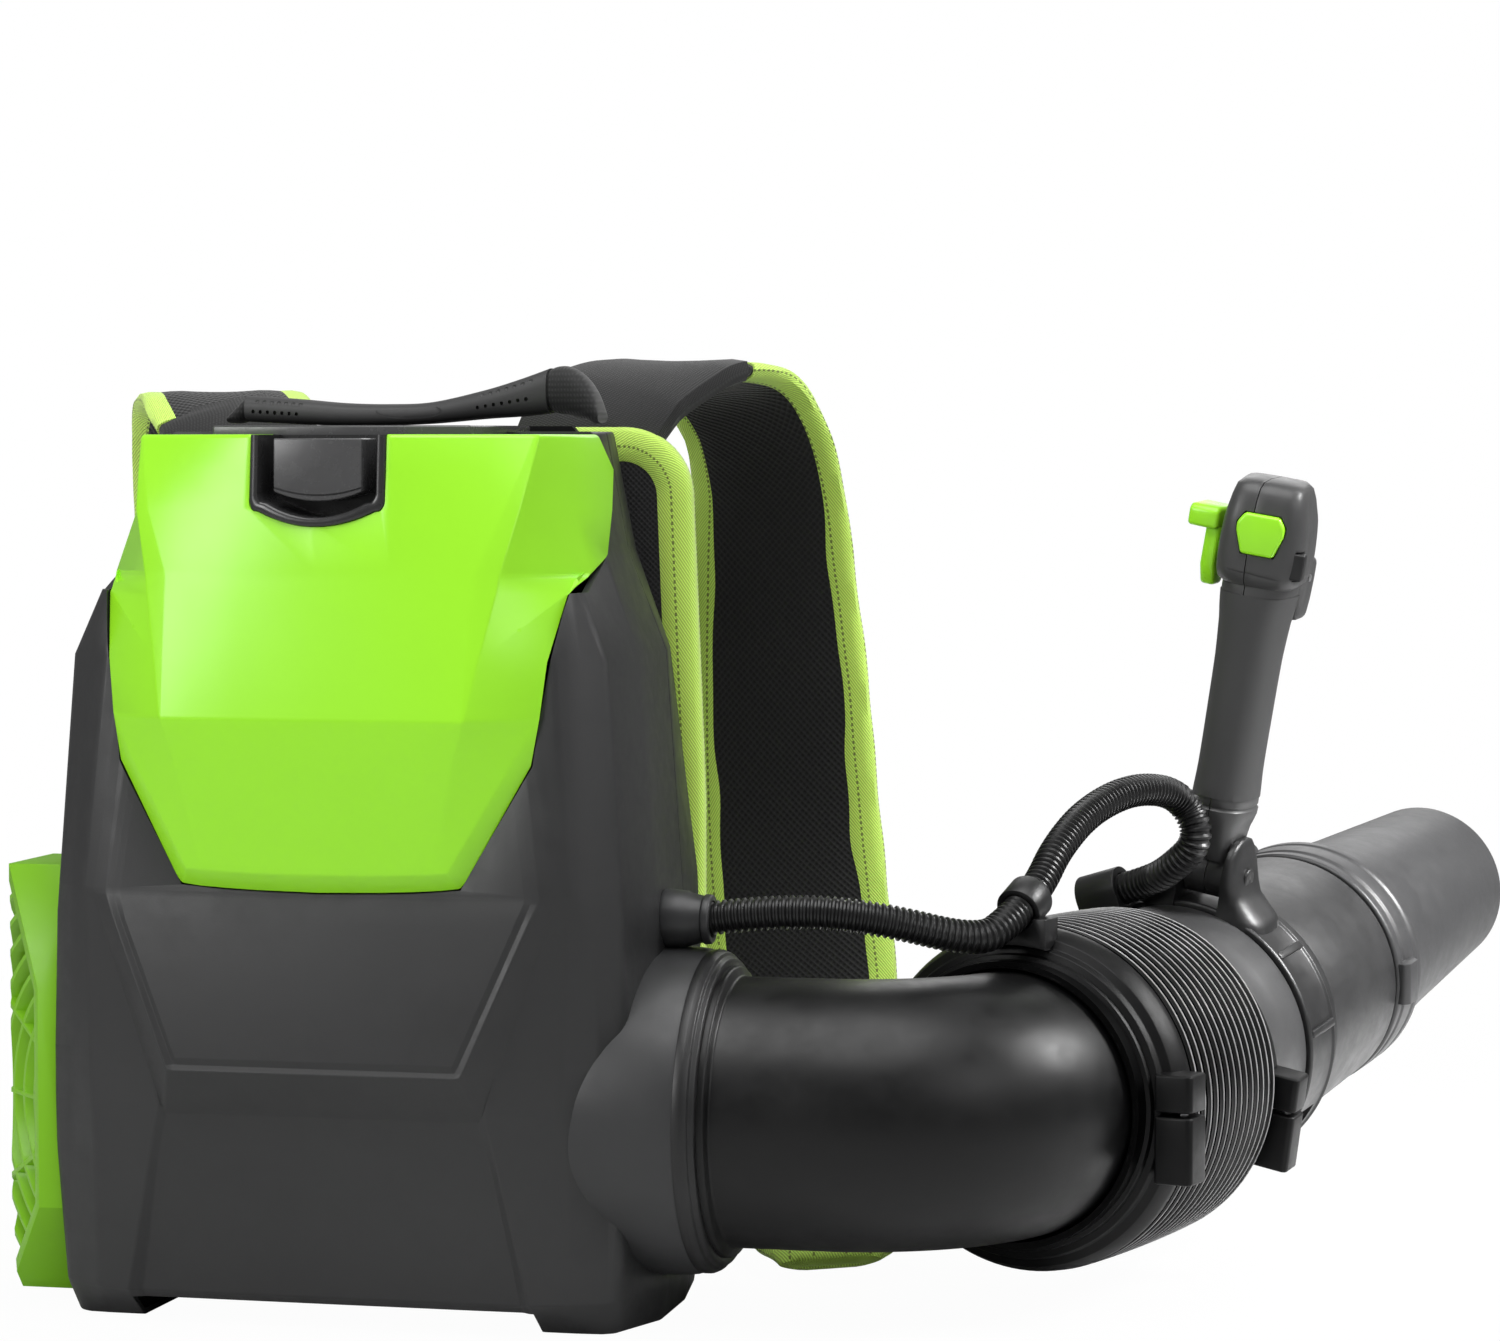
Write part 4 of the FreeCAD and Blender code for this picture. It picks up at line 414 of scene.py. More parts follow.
def softEdges(piece, width, segments=2, angle=35, weighted=False):
    modified(piece, "BEVEL", width=width * mm, segments=segments, harden_normals=False,
             limit_method="WEIGHT" if weighted else "ANGLE", angle_limit=math.radians(angle),
             miter_outer="MITER_ARC")


def wallInward(piece, thick):
    modified(piece, "SOLIDIFY", thickness=thick * mm, offset=-1)


def carve(piece, tool, kind="DIFFERENCE"):
    modified(piece, "BOOLEAN", object=tool, operation=kind, solver="MANIFOLD")
    bpy.data.objects.remove(tool)


def seat(piece, *places):
    for spot in places:
        pick(piece)
        piece.matrix_world = spot
        bpy.ops.object.transform_apply(location=True, rotation=True, scale=True)


def dressPiece(piece, finish, smooth):
    pick(piece)
    bpy.ops.object.transform_apply(location=True, rotation=True, scale=True)
    bpy.ops.object.shade_smooth_by_angle(angle=math.radians(smooth))
    piece.data.materials.clear()
    piece.data.materials.append(finishes[finish])


def finishPiece(piece, finish, body, node=None, smooth=34):
    # last step of a piece: shading, finish, body and the node it stands for
    dressPiece(piece, finish, smooth)
    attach(piece, body)
    if node:
        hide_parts(node)


def place(x=0, y=0, z=0, axis="Z", turn=0, inside=None):
    spot = Matrix.Translation(Vector((x, y, z)) * mm) @ Matrix.Rotation(math.radians(turn), 4, axis)
    return (inside @ spot) if inside is not None else spot


def at(spot, x, y, z):
    return (spot @ (Vector((x, y, z)) * mm)) / mm


def turns(count):
    return [2 * math.pi * i / count for i in range(count)]


def rounded(count, power, powerAcross=None):
    # points of a rounded box from -1 to 1, squarer with a smaller power
    return [(math.copysign(abs(math.cos(a)) ** power, math.cos(a)),
             math.copysign(abs(math.sin(a)) ** (powerAcross or power), math.sin(a)))
            for a in turns(count)]


def spun(name, profile, spot=None, steps=112, soft=0.6):
    # a closed outline of (along, radius) turned about X, then its edges softened
    count = len(profile)
    piece = newPiece(name, [(x, r, 0) for x, r in profile],
                     [(i, (i + 1) % count) for i in range(count)])
    editAll(piece, lambda: bpy.ops.mesh.spin(steps=steps, angle=2 * math.pi, center=(0, 0, 0),
                                             axis=(1, 0, 0)), closeUp)
    if soft:
        softEdges(piece, soft, 2, 22)
    if spot is not None:
        seat(piece, spot)
    return piece


def spunPiece(name, profile, spot, soft, finish, body, node, steps=112):
    finishPiece(spun(name, profile, spot, steps, soft), finish, body, node)


def bar(name, outline, across, axis="Y"):
    # a flat outline pushed into a bar; outline runs in the two other axes
    lay = {"X": lambda a, b, c: (c, a, b), "Y": lambda a, b, c: (a, c, b),
           "Z": lambda a, b, c: (a, b, c)}[axis]
    low, high = across
    piece = newPiece(name, [lay(a, b, low) for a, b in outline], [], [tuple(range(len(outline)))])
    push = Vector(lay(0, 0, high - low)) * mm
    editAll(piece, lambda: bpy.ops.mesh.extrude_region_move(
        TRANSFORM_OT_translate={"value": push}), pickAll, closeUp)
    return piece


def boxTool(low, high):
    clearPick()
    bpy.ops.mesh.primitive_cube_add(size=1, location=[(a + b) / 2 * mm for a, b in zip(low, high)])
    bpy.context.object.scale = [(b - a) * mm for a, b in zip(low, high)]
    bpy.ops.object.transform_apply(location=True, rotation=True, scale=True)
    return bpy.context.object


def drillTool(radius, low, high, spot, axis="X", sides=64):
    clearPick()
    bpy.ops.mesh.primitive_cylinder_add(vertices=sides, radius=radius * mm, depth=(high - low) * mm)
    tool, middle = bpy.context.object, (low + high) / 2
    centre = (middle, *spot) if axis == "X" else (spot[0], middle, spot[1])
    seat(tool, place(*centre, "Y" if axis == "X" else "X", 90))
    return tool


def loops(name, rings, wrap=False):
    # equal closed rings joined one after another, with caps or round to the first
    count, faces = len(rings[0]), []
    for level in range(len(rings) if wrap else len(rings) - 1):
        near, far = level * count, (level + 1) % len(rings) * count
        for i in range(count):
            j = (i + 1) % count
            faces.append((near + i, near + j, far + j, far + i))
    if not wrap:
        faces.append(tuple(reversed(range(count))))
        faces.append(tuple((len(rings) - 1) * count + i for i in range(count)))
    piece = newPiece(name, [p for ring in rings for p in ring], [], faces)
    editAll(piece, turnOut)
    return piece


def bandMesh(name, rows):
    # closed rings joined one after another, and mapped: each point is (spot, (across, along))
    piece, count = loops(name, [[spot for spot, _ in row] for row in rows]), len(rows[0])
    layer = piece.data.uv_layers.new(name="fabricMap")
    flat = [lay for row in rows for _, lay in row]
    for face in piece.data.polygons:
        columns = [i % count for i in face.vertices]
        seam = len(columns) == 4 and min(columns) == 0 and max(columns) == count - 1
        for corner, vertex in zip(face.loop_indices, face.vertices):
            u, v = flat[vertex]
            if seam and vertex % count == 0:
                last, before = flat[vertex - 1 + count][0], flat[vertex - 2 + count][0]
                u = last + (last - before)
            layer.data[corner].uv = (u * mm, v * mm)
    return piece


def joinPieces(name, pieces):
    pick(*pieces)
    bpy.ops.object.join()
    bpy.context.object.name = name
    return bpy.context.object


def united(name, pieces):
    first = pieces[0]
    for other in pieces[1:]:
        carve(first, other, "UNION")
    first.name = name
    return first


def tidyCopy(node, finish, body, soft=0.5, segments=2):
    # a plain node's copy: merged, freed of flat seams and given soft edges
    copy = twinOf(nodes[node])
    copy.name = "".join(w.title() if i else w for i, w in enumerate(node.split("_"))) + "Shape"
    copy.parent = None
    seat(copy, nodes[node].matrix_world)
    editAll(copy, closeUp, pickAll,
            lambda: bpy.ops.mesh.dissolve_limited(angle_limit=math.radians(1)))
    if soft:
        softEdges(copy, soft, segments, 30)
    finishPiece(copy, finish, body, node)


outletPlace = place(176, 0, 104)
bend = math.radians(75)
bellowsPlace = place(57 + 88 * math.sin(bend), 88 * (1 - math.cos(bend)), 0, "Z", 75, outletPlace)
tubePlace = place(axis="X", turn=11, inside=place(140, 0, 0, "Y", -7.8, bellowsPlace))
handlePlace = place(85, 0, 92, "Y", 4, tubePlace)


# Housing
def fullRows(rows):
    # a row is its height and its points; a point may bring a height of its own
    return [[(*point, height)[:3] for point in points] for height, *points in rows]


housingShape = {
    "rows": fullRows([
        (0, (0, -60), (93, -58), (95.5, -58), (98, -58), (106, -59), (122, -59), (134, -58), (140, -54),
         (153, -14), (151, 40), (142, 95), (0, 95)),
        (16, (0, -77), (93, -77), (95.5, -77), (98, -77), (103.5, -82.5, 17), (122, -76, 17),
         (137.5, -67.5, 17), (144, -62, 17), (155, -14), (153, 42), (143, 100), (0, 100)),
        (85, (0, -86.6), (81, -86.6), (83, -86.6), (85.8, -86.6), (89.5, -89), (121, -82), (137, -71),
         (148.5, -65), (156, -14), (153, 44), (145.5, 100), (0, 100)),
        (110, (0, -89.2, 107), (76, -89.2, 107), (78, -89.2, 107), (80.5, -89.2, 107), (83.5, -91, 111),
         (121, -85), (136, -73.5), (149, -65), (156, -14), (153, 45), (146, 100), (0, 100)),
        (130, (0, -103.3), (68.5, -103.2), (71.5, -103.2), (75, -103), (89.5, -90), (121.5, -85), (135, -75),
         (149, -65), (156, -14), (153, 45.5), (146, 100), (0, 100)),
        (132.6, (0, -101.4), (69.5, -101.3), (72.2, -101.2), (76.1, -102.8), (90.4, -90), (121.5, -85),
         (135, -75), (149, -65), (156, -14), (153, 45.5), (146, 100), (0, 100)),
        (136, (0, -102.2), (71, -102.2), (73.7, -100.8), (77.6, -102.4), (91.6, -89.8), (121.5, -85),
         (135, -75), (149, -65), (156, -14), (153, 45.5), (146, 100), (0, 100)),
        (203, (0, -94.4), (99.5, -93.8), (102.5, -92.4), (106, -93.2), (115.5, -86.8), (124, -84), (133, -80),
         (147, -66), (152, -14), (149, 48), (143.5, 100), (0, 100)),
        (216, (0, -90.2), (104, -89.6), (107.5, -89.4), (111.5, -89), (119.5, -86.5), (125.5, -84),
         (132, -80.3), (146, -66), (151, -14), (148, 48), (143, 100), (0, 100)),
        (332, (0, -80), (88, -79), (92, -79), (96, -79), (106, -78), (115, -77), (124, -72), (138, -63),
         (142, -14), (139.5, 50), (128, 100), (0, 100)),
        (382, (0, -74), (70, -74), (76, -74), (82, -74), (92, -73), (100, -72), (108, -67), (117.5, -56),
         (124, -14), (120.5, 45), (110, 100), (0, 100)),
        (443, (0, -66), (60, -66), (66, -66), (72, -66), (80, -66), (88, -65), (97, -58), (105, -45),
         (112, 0), (108, 50), (98, 100), (0, 100)),
    ]),
    "columnSoft": [0, 0.1, 0.1, 0.18, 0.25, 0.5, 0.8, 0.9, 0.9, 0.5, 0.8, 0],
    "rowSoft": [0.4, 0.25, 0.5, 0.2, 0.2, 0.1, 0.1, 0, 0.5, 0, 0.5, 0.4],
    "softest": 8.0, "wall": 3.0, "seam": 46.0, "seamGap": 0.7,
    "foot": ((-104, -120, -5), (104, 68, 12)), "bay": ((-67.2, -55.2, 400), (67.2, 51.2, 460)),
    "holes": [(81.8, (0, 104)), (12.2, (0, 200))],   # outlet and cable gland in the right side
}
coverShape = {
    # from the middle outwards: middle, beside the latch, panel, inner crease, outer crease, side,
    # side end; below the wrap the last point of a row is the front outline
    "rows": fullRows([
        (441.5, (0, -92), (38, -88), (82, -71), (101.2, -59.5), (103.4, -57.5), (110, -28), (115, 6)),
        (424, (0, -93), (38, -89.6), (79, -77.5), (97.2, -70), (101.4, -67), (112.8, -32), (122, 10)),
        (405, (0, -94.5), (38, -91.7), (74, -85.5), (91.7, -80.5), (98.8, -77.2), (113.5, -38, 403),
         (124, 0, 404)),
        (373, (0, -97), (38, -95.6), (64, -92.8), (79, -90), (91, -86), (124, -40, 372), (126, -17, 380)),
        (364, (0, -98.2), (38, -97), (64, -94.5), (78.7, -91.8), (89.2, -88.3, 363), (118.5, -62)),
        (333, (0, -102), (38, -101.2), (62, -99.7), (77.7, -98), (83, -96.5), (112.6, -79, 331)),
        (303, (0, -106), (38, -105.6), (60, -105), (76.7, -104), (78, -103.4), (108, -83)),
        (284, (0, -104.2), (36, -103.8), (56, -103.2), (70.5, -102), (72.5, -101.6), (98, -88),
         (105.4, -82.6, 281)),
        (227, (0, -98), (30, -97.8, 227.2), (46, -97.3, 227.8), (58, -96.8, 228.4), (60.5, -96.6, 228.6),
         (66.8, -96, 229), (74.4, -88.6, 224.6)),
        (218, (0, -92), (31, -91.8, 218.6), (47.5, -91.4, 219.3), (61, -90.8, 220.1), (64, -90.5, 220.4),
         (71.3, -89, 221.2)),
    ]),
    "ends": [((3, 5), (3, 6), (4, 5)), ((6, 5), (7, 6), (7, 5)), ((8, 5), (8, 6), (9, 5))],
    "columnSoft": {3: 0.12, 4: 0.12}, "rowSoft": {0: 0.3, 3: 0.25, 6: 0.2, 8: 0.15},
    "wall": 3.0, "gap": 0.9,
}


def weighEdges(piece, weigh):
    soft = piece.data.attributes.new("bevel_weight_edge", "FLOAT", "EDGE")
    for edge in piece.data.edges:
        soft.data[edge.index].value = weigh(*edge.vertices)


def housingSkin():
    # rows of right-half points are mirrored into closed rings and joined row by row
    shape = housingShape
    rings = [row + [(-x, y, z) for x, y, z in reversed(row) if x > 0.01] for row in shape["rows"]]
    count, half = len(rings[0]), len(shape["rows"][0])

    def weigh(a, b):
        (rowA, colA), (rowB, colB) = divmod(a, count), divmod(b, count)
        if rowA == rowB:
            return shape["rowSoft"][rowA]
        return shape["columnSoft"][colA if colA < half else count - colA] if colA == colB else 0

    skin = loops("housingShell", rings)
    weighEdges(skin, weigh)
    return skin


def coverSkin():
    shape = coverShape
    rows = shape["rows"]
    points, index, faces = [], {}, []
    for r, row in enumerate(rows):
        for c, (x, y, z) in enumerate(row):
            for side in (1, -1) if x > 0.01 else (1,):
                index[r, c, side] = len(points)
                points.append((side * x, y, z))
            if x <= 0.01:
                index[r, c, -1] = index[r, c, 1]
    panels = [((r, c), (r, c + 1), (r + 1, c + 1), (r + 1, c)) for r in range(len(rows) - 1)
              for c in range(min(len(rows[r]), len(rows[r + 1])) - 1)] + shape["ends"]
    for side in (1, -1):
        for corners in panels:
            faces.append(tuple(index[r, c, side] for r, c in corners[::side]))
    faces.append(tuple([index[0, c, 1] for c in range(7)] + [index[0, c, -1] for c in range(6, 0, -1)]))
    where = {v: key for key, v in index.items()}

    def weigh(a, b):
        (rowA, colA, _), (rowB, colB, _) = where[a], where[b]
        upper, lower = min(rowA, rowB), max(rowA, rowB)
        if rowA == rowB:
            return shape["rowSoft"].get(rowA, 0)
        if colA != colB:
            return 0.25
        if colA == 5 and (upper >= 6 or lower == 4):
            return 0.15
        return 0 if upper >= 6 else shape["columnSoft"].get(colA, 0)

    piece = newPiece("coverGreen", points, [], faces)
    editAll(piece, turnOut)
    weighEdges(piece, weigh)
    return piece


def coverCutter(grow):
    # the cover's place: its outline from the front crossed with its outline from the side
    half = [(0, 218 - grow), (48, 219.3 - grow), (71.3 + grow * 0.4, 221.2 - grow),
            (105.4 + grow, 281 - grow * 0.4), (108.2 + grow, 303), (112.8 + grow, 331),
            (118.6 + grow, 364), (140, 366 - grow), (140, 460)]
    front = bar("coverPlace", half + [(-x, z) for x, z in reversed(half[1:])], (-130, 60))
    sideLine = [(-130, 190), (-52, 190), (-52, 364), (-17 + grow, 380 - grow), (-2 + grow, 402),
                (9 + grow, 426), (6.5 + grow, 460), (-130, 460)]
    carve(front, bar("coverSide", sideLine, (-150, 150), axis="X"), "INTERSECT")
    return front


def octagonOutline(grow):
    side, slope, top, foot = 59 + grow, 30 + grow * 0.5, 119 + grow, 98 + grow
    corner, low = 59 + grow * 0.5, 52 + grow * 0.5
    return [(y, 104 + z) for y, z in (
        (side, corner), (slope, top), (-slope, top), (-side, corner),
        (-side, -low), (-slope, -foot), (slope, -foot), (side, -low))]


def makeHousing():
    shape = housingShape
    shell = housingSkin()
    softEdges(shell, shape["softest"], 4, weighted=True)
    editAll(shell, closeUp)
    wallInward(shell, shape["wall"])
    carve(shell, boxTool(*shape["foot"]))
    carve(shell, boxTool(*shape["bay"]))
    carve(shell, coverCutter(coverShape["gap"]))
    carve(shell, bar("intakeHole", octagonOutline(-6), (-190, -120), axis="X"))
    for radius, spot in shape["holes"]:
        carve(shell, drillTool(radius, 110, 190, spot))
    rear = twinOf(shell)
    rear.name = "housingRear"
    carve(shell, boxTool((-300, shape["seam"], -50), (300, 300, 600)))
    carve(rear, boxTool((-300, -300, -50), (300, shape["seam"] + shape["seamGap"], 600)))
    for piece in (shell, rear):
        softEdges(piece, 0.7, 2, 48)
    finishPiece(shell, "housing", "pack", "front_housing")
    finishPiece(rear, "rearHousing", "pack", "rear_housing")
    print("housing shaped")


def makeCover():
    cover = coverSkin()
    softEdges(cover, 8, 4, weighted=True)
    editAll(cover, closeUp)
    wallInward(cover, coverShape["wall"])
    carve(cover, boxTool(*housingShape["bay"]))
    carve(cover, notchBar("notchHole", 0, -130, -52))
    softEdges(cover, 0.8, 2, 48)
    finishPiece(cover, "green", "pack", "top_cover")
    print("cover shaped")


# Latch
latchShape = {
    "half": 34.8, "foot": 396.4, "sag": 10, "round": 6,
    # inset from the outline, depth behind the cover's face (None: the back plate)
    "section": [(0.2, None), (0.2, 0.4), (0.5, -0.6), (1.2, -1.0), (3.4, -1.0), (4.3, -0.4), (4.8, 1.2),
                (5.2, None)],
    "top": 441.3, "plate": -55.3, "tab": 22.6, "tabFoot": 409.0, "tabTop": 439.6, "tabFace": -90.6,
}


def latchLine(inset, top=470.0):
    # the latch's outline from side to side: straight sides, round corners and a sagging foot
    shape = latchShape
    edge, corner = shape["half"] - inset, shape["round"]
    foot = [(edge - 5) * k / 12 for k in range(1, 13)]
    half = [(x, shape["foot"] + inset + shape["sag"] * (x / edge) ** 2) for x in foot]
    low = half[-1][1] + 5.2
    for k in range(1, 8):
        a = math.radians(-62 + 62 * k / 7)
        half.append((edge - corner + corner * math.cos(a), low + corner * math.sin(a)))
    half.append((edge, top))
    return [(-x, z) for x, z in reversed(half)] + half


def notchBar(name, inset, front, back, top=470.0):
    return bar(name, latchLine(inset, top), (front, back))


def makeLatch():
    shape = latchShape
    lines = [latchLine(inset, shape["top"]) for inset, _ in shape["section"]]
    rings = []
    for spots in zip(*lines):
        ring = []
        for (x, z), (_, deep) in zip(spots, shape["section"]):
            face = -92 - (441.5 - z) * 0.078 + 3.8 * (x / 38) ** 2   # the cover's face here
            ring.append((x, shape["plate"] if deep is None else face + deep, z))
        rings.append(ring)
    surround = loops("latchFrame", rings)
    plate = notchBar("latchPlate", 4.9, shape["plate"] - 3, shape["plate"], shape["top"])
    finishPiece(joinPieces("latchFrame", [plate, surround]), "latch", "pack",
                "latch_frame", 40)
    half, low, top, face = shape["tab"], shape["tabFoot"], shape["tabTop"], shape["tabFace"]
    foot = [(half * k / 12, 4.6 * (k / 12) ** 2) for k in range(-12, 13)]
    tab = bar("latchTab", [(x, low + z) for x, z in foot] + [(half, top), (-half, top)], (face, -66))
    softEdges(tab, 0.9, 3, 40)
    carve(tab, bar("tabGroove", [(x * 1.1, low + 2.4 + z) for x, z in foot]
                   + [(x * 1.1, low + 3.3 + z) for x, z in reversed(foot)], (face - 4, face + 1.2)))
    finishPiece(tab, "latchTab", "latch", "release_button", 40)
    print("latch shaped")


# Cable conduit
conduitShape = {
    "radius": 8.6, "valley": 7.35, "pitch": 3.4, "sides": 20,
    "lower": [(171, 0, 200), (212, 0, 206), ("bellows", -72, 42, 98), ("bellows", -34, 5, 84),
              ("bellows", -14.2, -2.1, 93.3), ("bellows", 1.5, -3, 100.8)],
    "upper": [("bellows", 2.6, -3, 101.3), ("bellows", 17.5, -3.8, 108.4), ("bellows", 40, -3, 126),
              ("bellows", 80, -3, 143), ("bellows", 126, -9, 152), ("bellows", 170, -16, 146),
              ("tube", 46, -6, 120), ("tube", 49, 12, 97), ("tube", 59, 28, 84.7),
              ("tube", 59, 54, 70.8)],
}


def cordLine(name, corners):
    frames = {"bellows": bellowsPlace, "tube": tubePlace}
    spots = [at(frames[c[0]], *c[1:]) if isinstance(c[0], str) else Vector(c) for c in corners]
    curve = bpy.data.curves.new(name, "CURVE")
    curve.dimensions, curve.resolution_u = "3D", 24
    spline = curve.splines.new("NURBS")
    spline.points.add(len(spots) - 1)
    for point, spot in zip(spline.points, spots):
        point.co = (*(spot * mm), 1)
    spline.order_u = 3
    spline.use_endpoint_u = True
    line = bpy.data.objects.new(name, curve)
    bpy.context.collection.objects.link(line)
    bpy.context.view_layer.update()
    drawn = line.evaluated_get(bpy.context.evaluated_depsgraph_get())
    points = [v.co / mm for v in drawn.to_mesh().vertices]
    drawn.to_mesh_clear()
    bpy.data.objects.remove(line)
    return points


def evenly(points, step):
    # the same line with points at even steps, and its whole length
    runs = [0.0]
    for a, b in zip(points, points[1:]):
        runs.append(runs[-1] + (b - a).length)
    count = max(2, round(runs[-1] / step))
    result, leg = [], 0
    for i in range(count + 1):
        want = runs[-1] * i / count
        while leg < len(points) - 2 and runs[leg + 1] < want:
            leg += 1
        share = (want - runs[leg]) / max(runs[leg + 1] - runs[leg], 1e-9)
        result.append(points[leg].lerp(points[leg + 1], share))
    return result, runs[-1]


def tubeRings(points, radii, sides):
    # rings square to the line, carried along it without twist
    rings, side = [], None
    for i, point in enumerate(points):
        ahead = (points[min(i + 1, len(points) - 1)] - points[max(i - 1, 0)]).normalized()
        side = (side - ahead * side.dot(ahead)).normalized() if side else ahead.orthogonal().normalized()
        over = ahead.cross(side)
        radius = radii[i % len(radii)]
        rings.append([point + (side * math.cos(a) + over * math.sin(a)) * radius for a in turns(sides)])
    return rings


def makeConduits():
    shape = conduitShape
    crest, valley = shape["radius"], shape["valley"]
    for part, ends in (("lower", ("pack", "elbow")), ("upper", ("elbow", "wand"))):
        line = cordLine("conduitLine", shape[part])
        spots, length = evenly(line, shape["pitch"] / 4)
        tube = loops("conduit" + part.title(),
                     tubeRings(spots, (valley, crest, crest, valley), shape["sides"]))
        dressPiece(tube, "conduit", 38)
        first, last = spots[0] * mm, spots[-1] * mm
        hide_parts("conduit_" + part)
        first.lerp(last, 0.12)
        first.lerp(last, 0.88)
        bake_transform(tube)
        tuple(first)
        print("conduit", part, round(length, 1))


# Outlet, elbow and bellows
airShape = {
    "sleeve": [(-70, 78), (-70, 82), (-16, 82), (-5, 81.2), (-2, 80.4), (0, 79.6), (0, 78)],
    "collar": [(-14, 66), (-14, 77.6), (-1.5, 77.6), (-1.5, 80.6), (2.5, 80.6), (5.5, 79.2),
               (6.2, 77.4), (8.4, 76.6), (9, 75.2), (9, 70), (2, 68.2), (2, 74.6), (-6, 74.6),
               (-6, 66)],
    "gland": [(-8, 9.2), (-8, 11.6), (-1.2, 11.6), (-1.2, 14.6), (1.2, 15), (10.5, 14.2),
              (13, 13.2), (19.5, 11.6), (20, 12.6), (23.4, 12.3), (24, 11.3), (24, 9.2)],
    "elbow": {"radius": 67.5, "wall": 3, "run": 57, "bend": 88, "turn": 75, "tip": 16, "foot": 72.6},
    # the folds lie lower away from the sixth one, by crown times the square of their distance
    "bellows": {"start": 20, "end": 129, "ribs": 14, "crest": 89.4, "root": 83.4, "neck": 74,
                "bore": 76, "crown": 0.022,
                "fold": [(0.04, -0.6), (0.06, -0.1), (0.10, 0), (0.14, -0.1), (0.17, -0.6), (0.70, -0.6),
                         (0.73, -0.1), (0.77, 0), (0.81, -0.1), (0.84, -0.6)]},
    "flare": [(-13, 69.5), (-13, 71), (-9, 71.2), (-8.6, 72.8), (-4.4, 73), (-4, 75.4), (-0.6, 75.8),
              (-0.2, 79.2), (4, 80.4), (6, 84.6), (15, 88.2), (19.4, 88.6), (19.8, 86), (19.8, 80),
              (10, 76), (10, 69.5)],
    "rearRing": [(1, 75), (1, 79.6), (2.6, 81.2), (9.4, 81.2), (11.8, 79.6), (11.8, 75)],
    # station, width, inner and outer reach, rise above and below the split
    "frontLug": (4, 21, 78, 98, 20, 35), "rearLug": (4.4, 17, 76, 96, 20, 32),
}


def ringAt(spot, radius):
    return [at(spot, 0, radius * math.cos(turn), radius * math.sin(turn)) for turn in turns(96)]


def earPair(name, spot, station, wide, inner, reach, high, low):
    # split lug of a clamp: a short upper ear and a longer lower one
    half = wide / 2
    outline = [(-half, -reach + 2), (-half + 2, -reach), (half - 2, -reach), (half, -reach + 2),
               (half, -inner), (-half, -inner)]
    ears = joinPieces(name, [bar(name, [(station + x, y) for x, y in outline], rise, axis="Z")
                             for rise in ((1.1, high), (-low, -1.1))])
    softEdges(ears, 1.6, 3)
    seat(ears, spot)
    return ears


def makeElbow():
    shape = airShape["elbow"]
    radius, run, curve = shape["radius"], shape["run"], shape["bend"]
    spots = [place(x, 0, 0, inside=outletPlace) for x in (-5.5, 4, 12, 14, run)]
    for i in range(1, 31):
        angle = math.radians(shape["turn"]) * i / 30
        spots.append(place(run + curve * math.sin(angle), curve * (1 - math.cos(angle)), 0, "Z",
                           math.degrees(angle), outletPlace))
    spots.append(place(shape["tip"], 0, 0, inside=bellowsPlace))
    outside = [shape["foot"]] * 3 + [radius] * (len(spots) - 3)
    rings = [ringAt(spot, wide) for spot, wide in zip(spots, outside)]
    rings += [ringAt(spot, radius - shape["wall"]) for spot in reversed(spots)]
    elbow = loops("elbowDuct", rings, wrap=True)
    softEdges(elbow, 1.2, 3, 40)
    finishPiece(elbow, "elbow", "elbow", "elbow", 40)
    spunPiece("outletSleeve", airShape["sleeve"], outletPlace, 0.8,
              "sleeve", "pack", "outlet_sleeve")
    spunPiece("outletCollar", airShape["collar"], outletPlace, 0.5,
              "black", "pack", "outlet_collar")
    spunPiece("cableGland", airShape["gland"], place(152, 0, 200), 0.5,
              "sleeve", "pack", "cable_gland", 64)
    print("elbow shaped")


def makeBellows():
    shape = airShape["bellows"]
    start, end, crest, root = shape["start"], shape["end"], shape["crest"], shape["root"]
    neck, bore, crown = shape["neck"], shape["bore"], shape["crown"]
    pitch = (end - start) / shape["ribs"]
    line = [(-13, neck - 4.6), (-13, neck - 1.2), (start - 1, neck), (start - 0.6, root)]
    for i in range(shape["ribs"]):
        x, sunk = start + i * pitch, crown * (i - 5) ** 2
        line += [(x + part * pitch, crest - sunk + rise) for part, rise in shape["fold"]]
        line += [(x + part * pitch, root - sunk) for part in (0.86, 1.02)]
    line += [(end + 0.5, neck), (end + 12, neck), (end + 12, neck - 3.4), (end - 3, neck - 3.4),
             (end - 6, bore), (start + 3, bore), (start + 1, neck - 4.6)]
    folds = spun("bellowsHose", line, steps=128, soft=0)
    # the finish paints a highlight on one lip of each fold
    lips = folds.data.attributes.new("lip", "FLOAT", "POINT")
    for v in folds.data.vertices:
        along = (v.co.x / mm - start) / pitch
        high = math.hypot(v.co.y, v.co.z) / mm > crest - crown * (along - 5) ** 2 - 0.35
        lips.data[v.index].value = float(high and 0.715 < along % 1 < 0.85)
    seat(folds, bellowsPlace)
    dressPiece(folds, "bellows", 50)
    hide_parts("bellows")
    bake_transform(folds)
    for name, profile, spot, soft, body in (("front", "flare", bellowsPlace, 0.5, "elbow"),
                                            ("rear", "rearRing", tubePlace, 0.6, "wand")):
        ring = spun(name + "Clamp", airShape[profile], spot, soft=soft)
        ears = earPair(name + "Lug", spot, *airShape[name + "Lug"])
        finishPiece(joinPieces(name + "Clamp", [ring, ears]), "clamp", body,
                    name + "_clamp")
    print("bellows shaped")


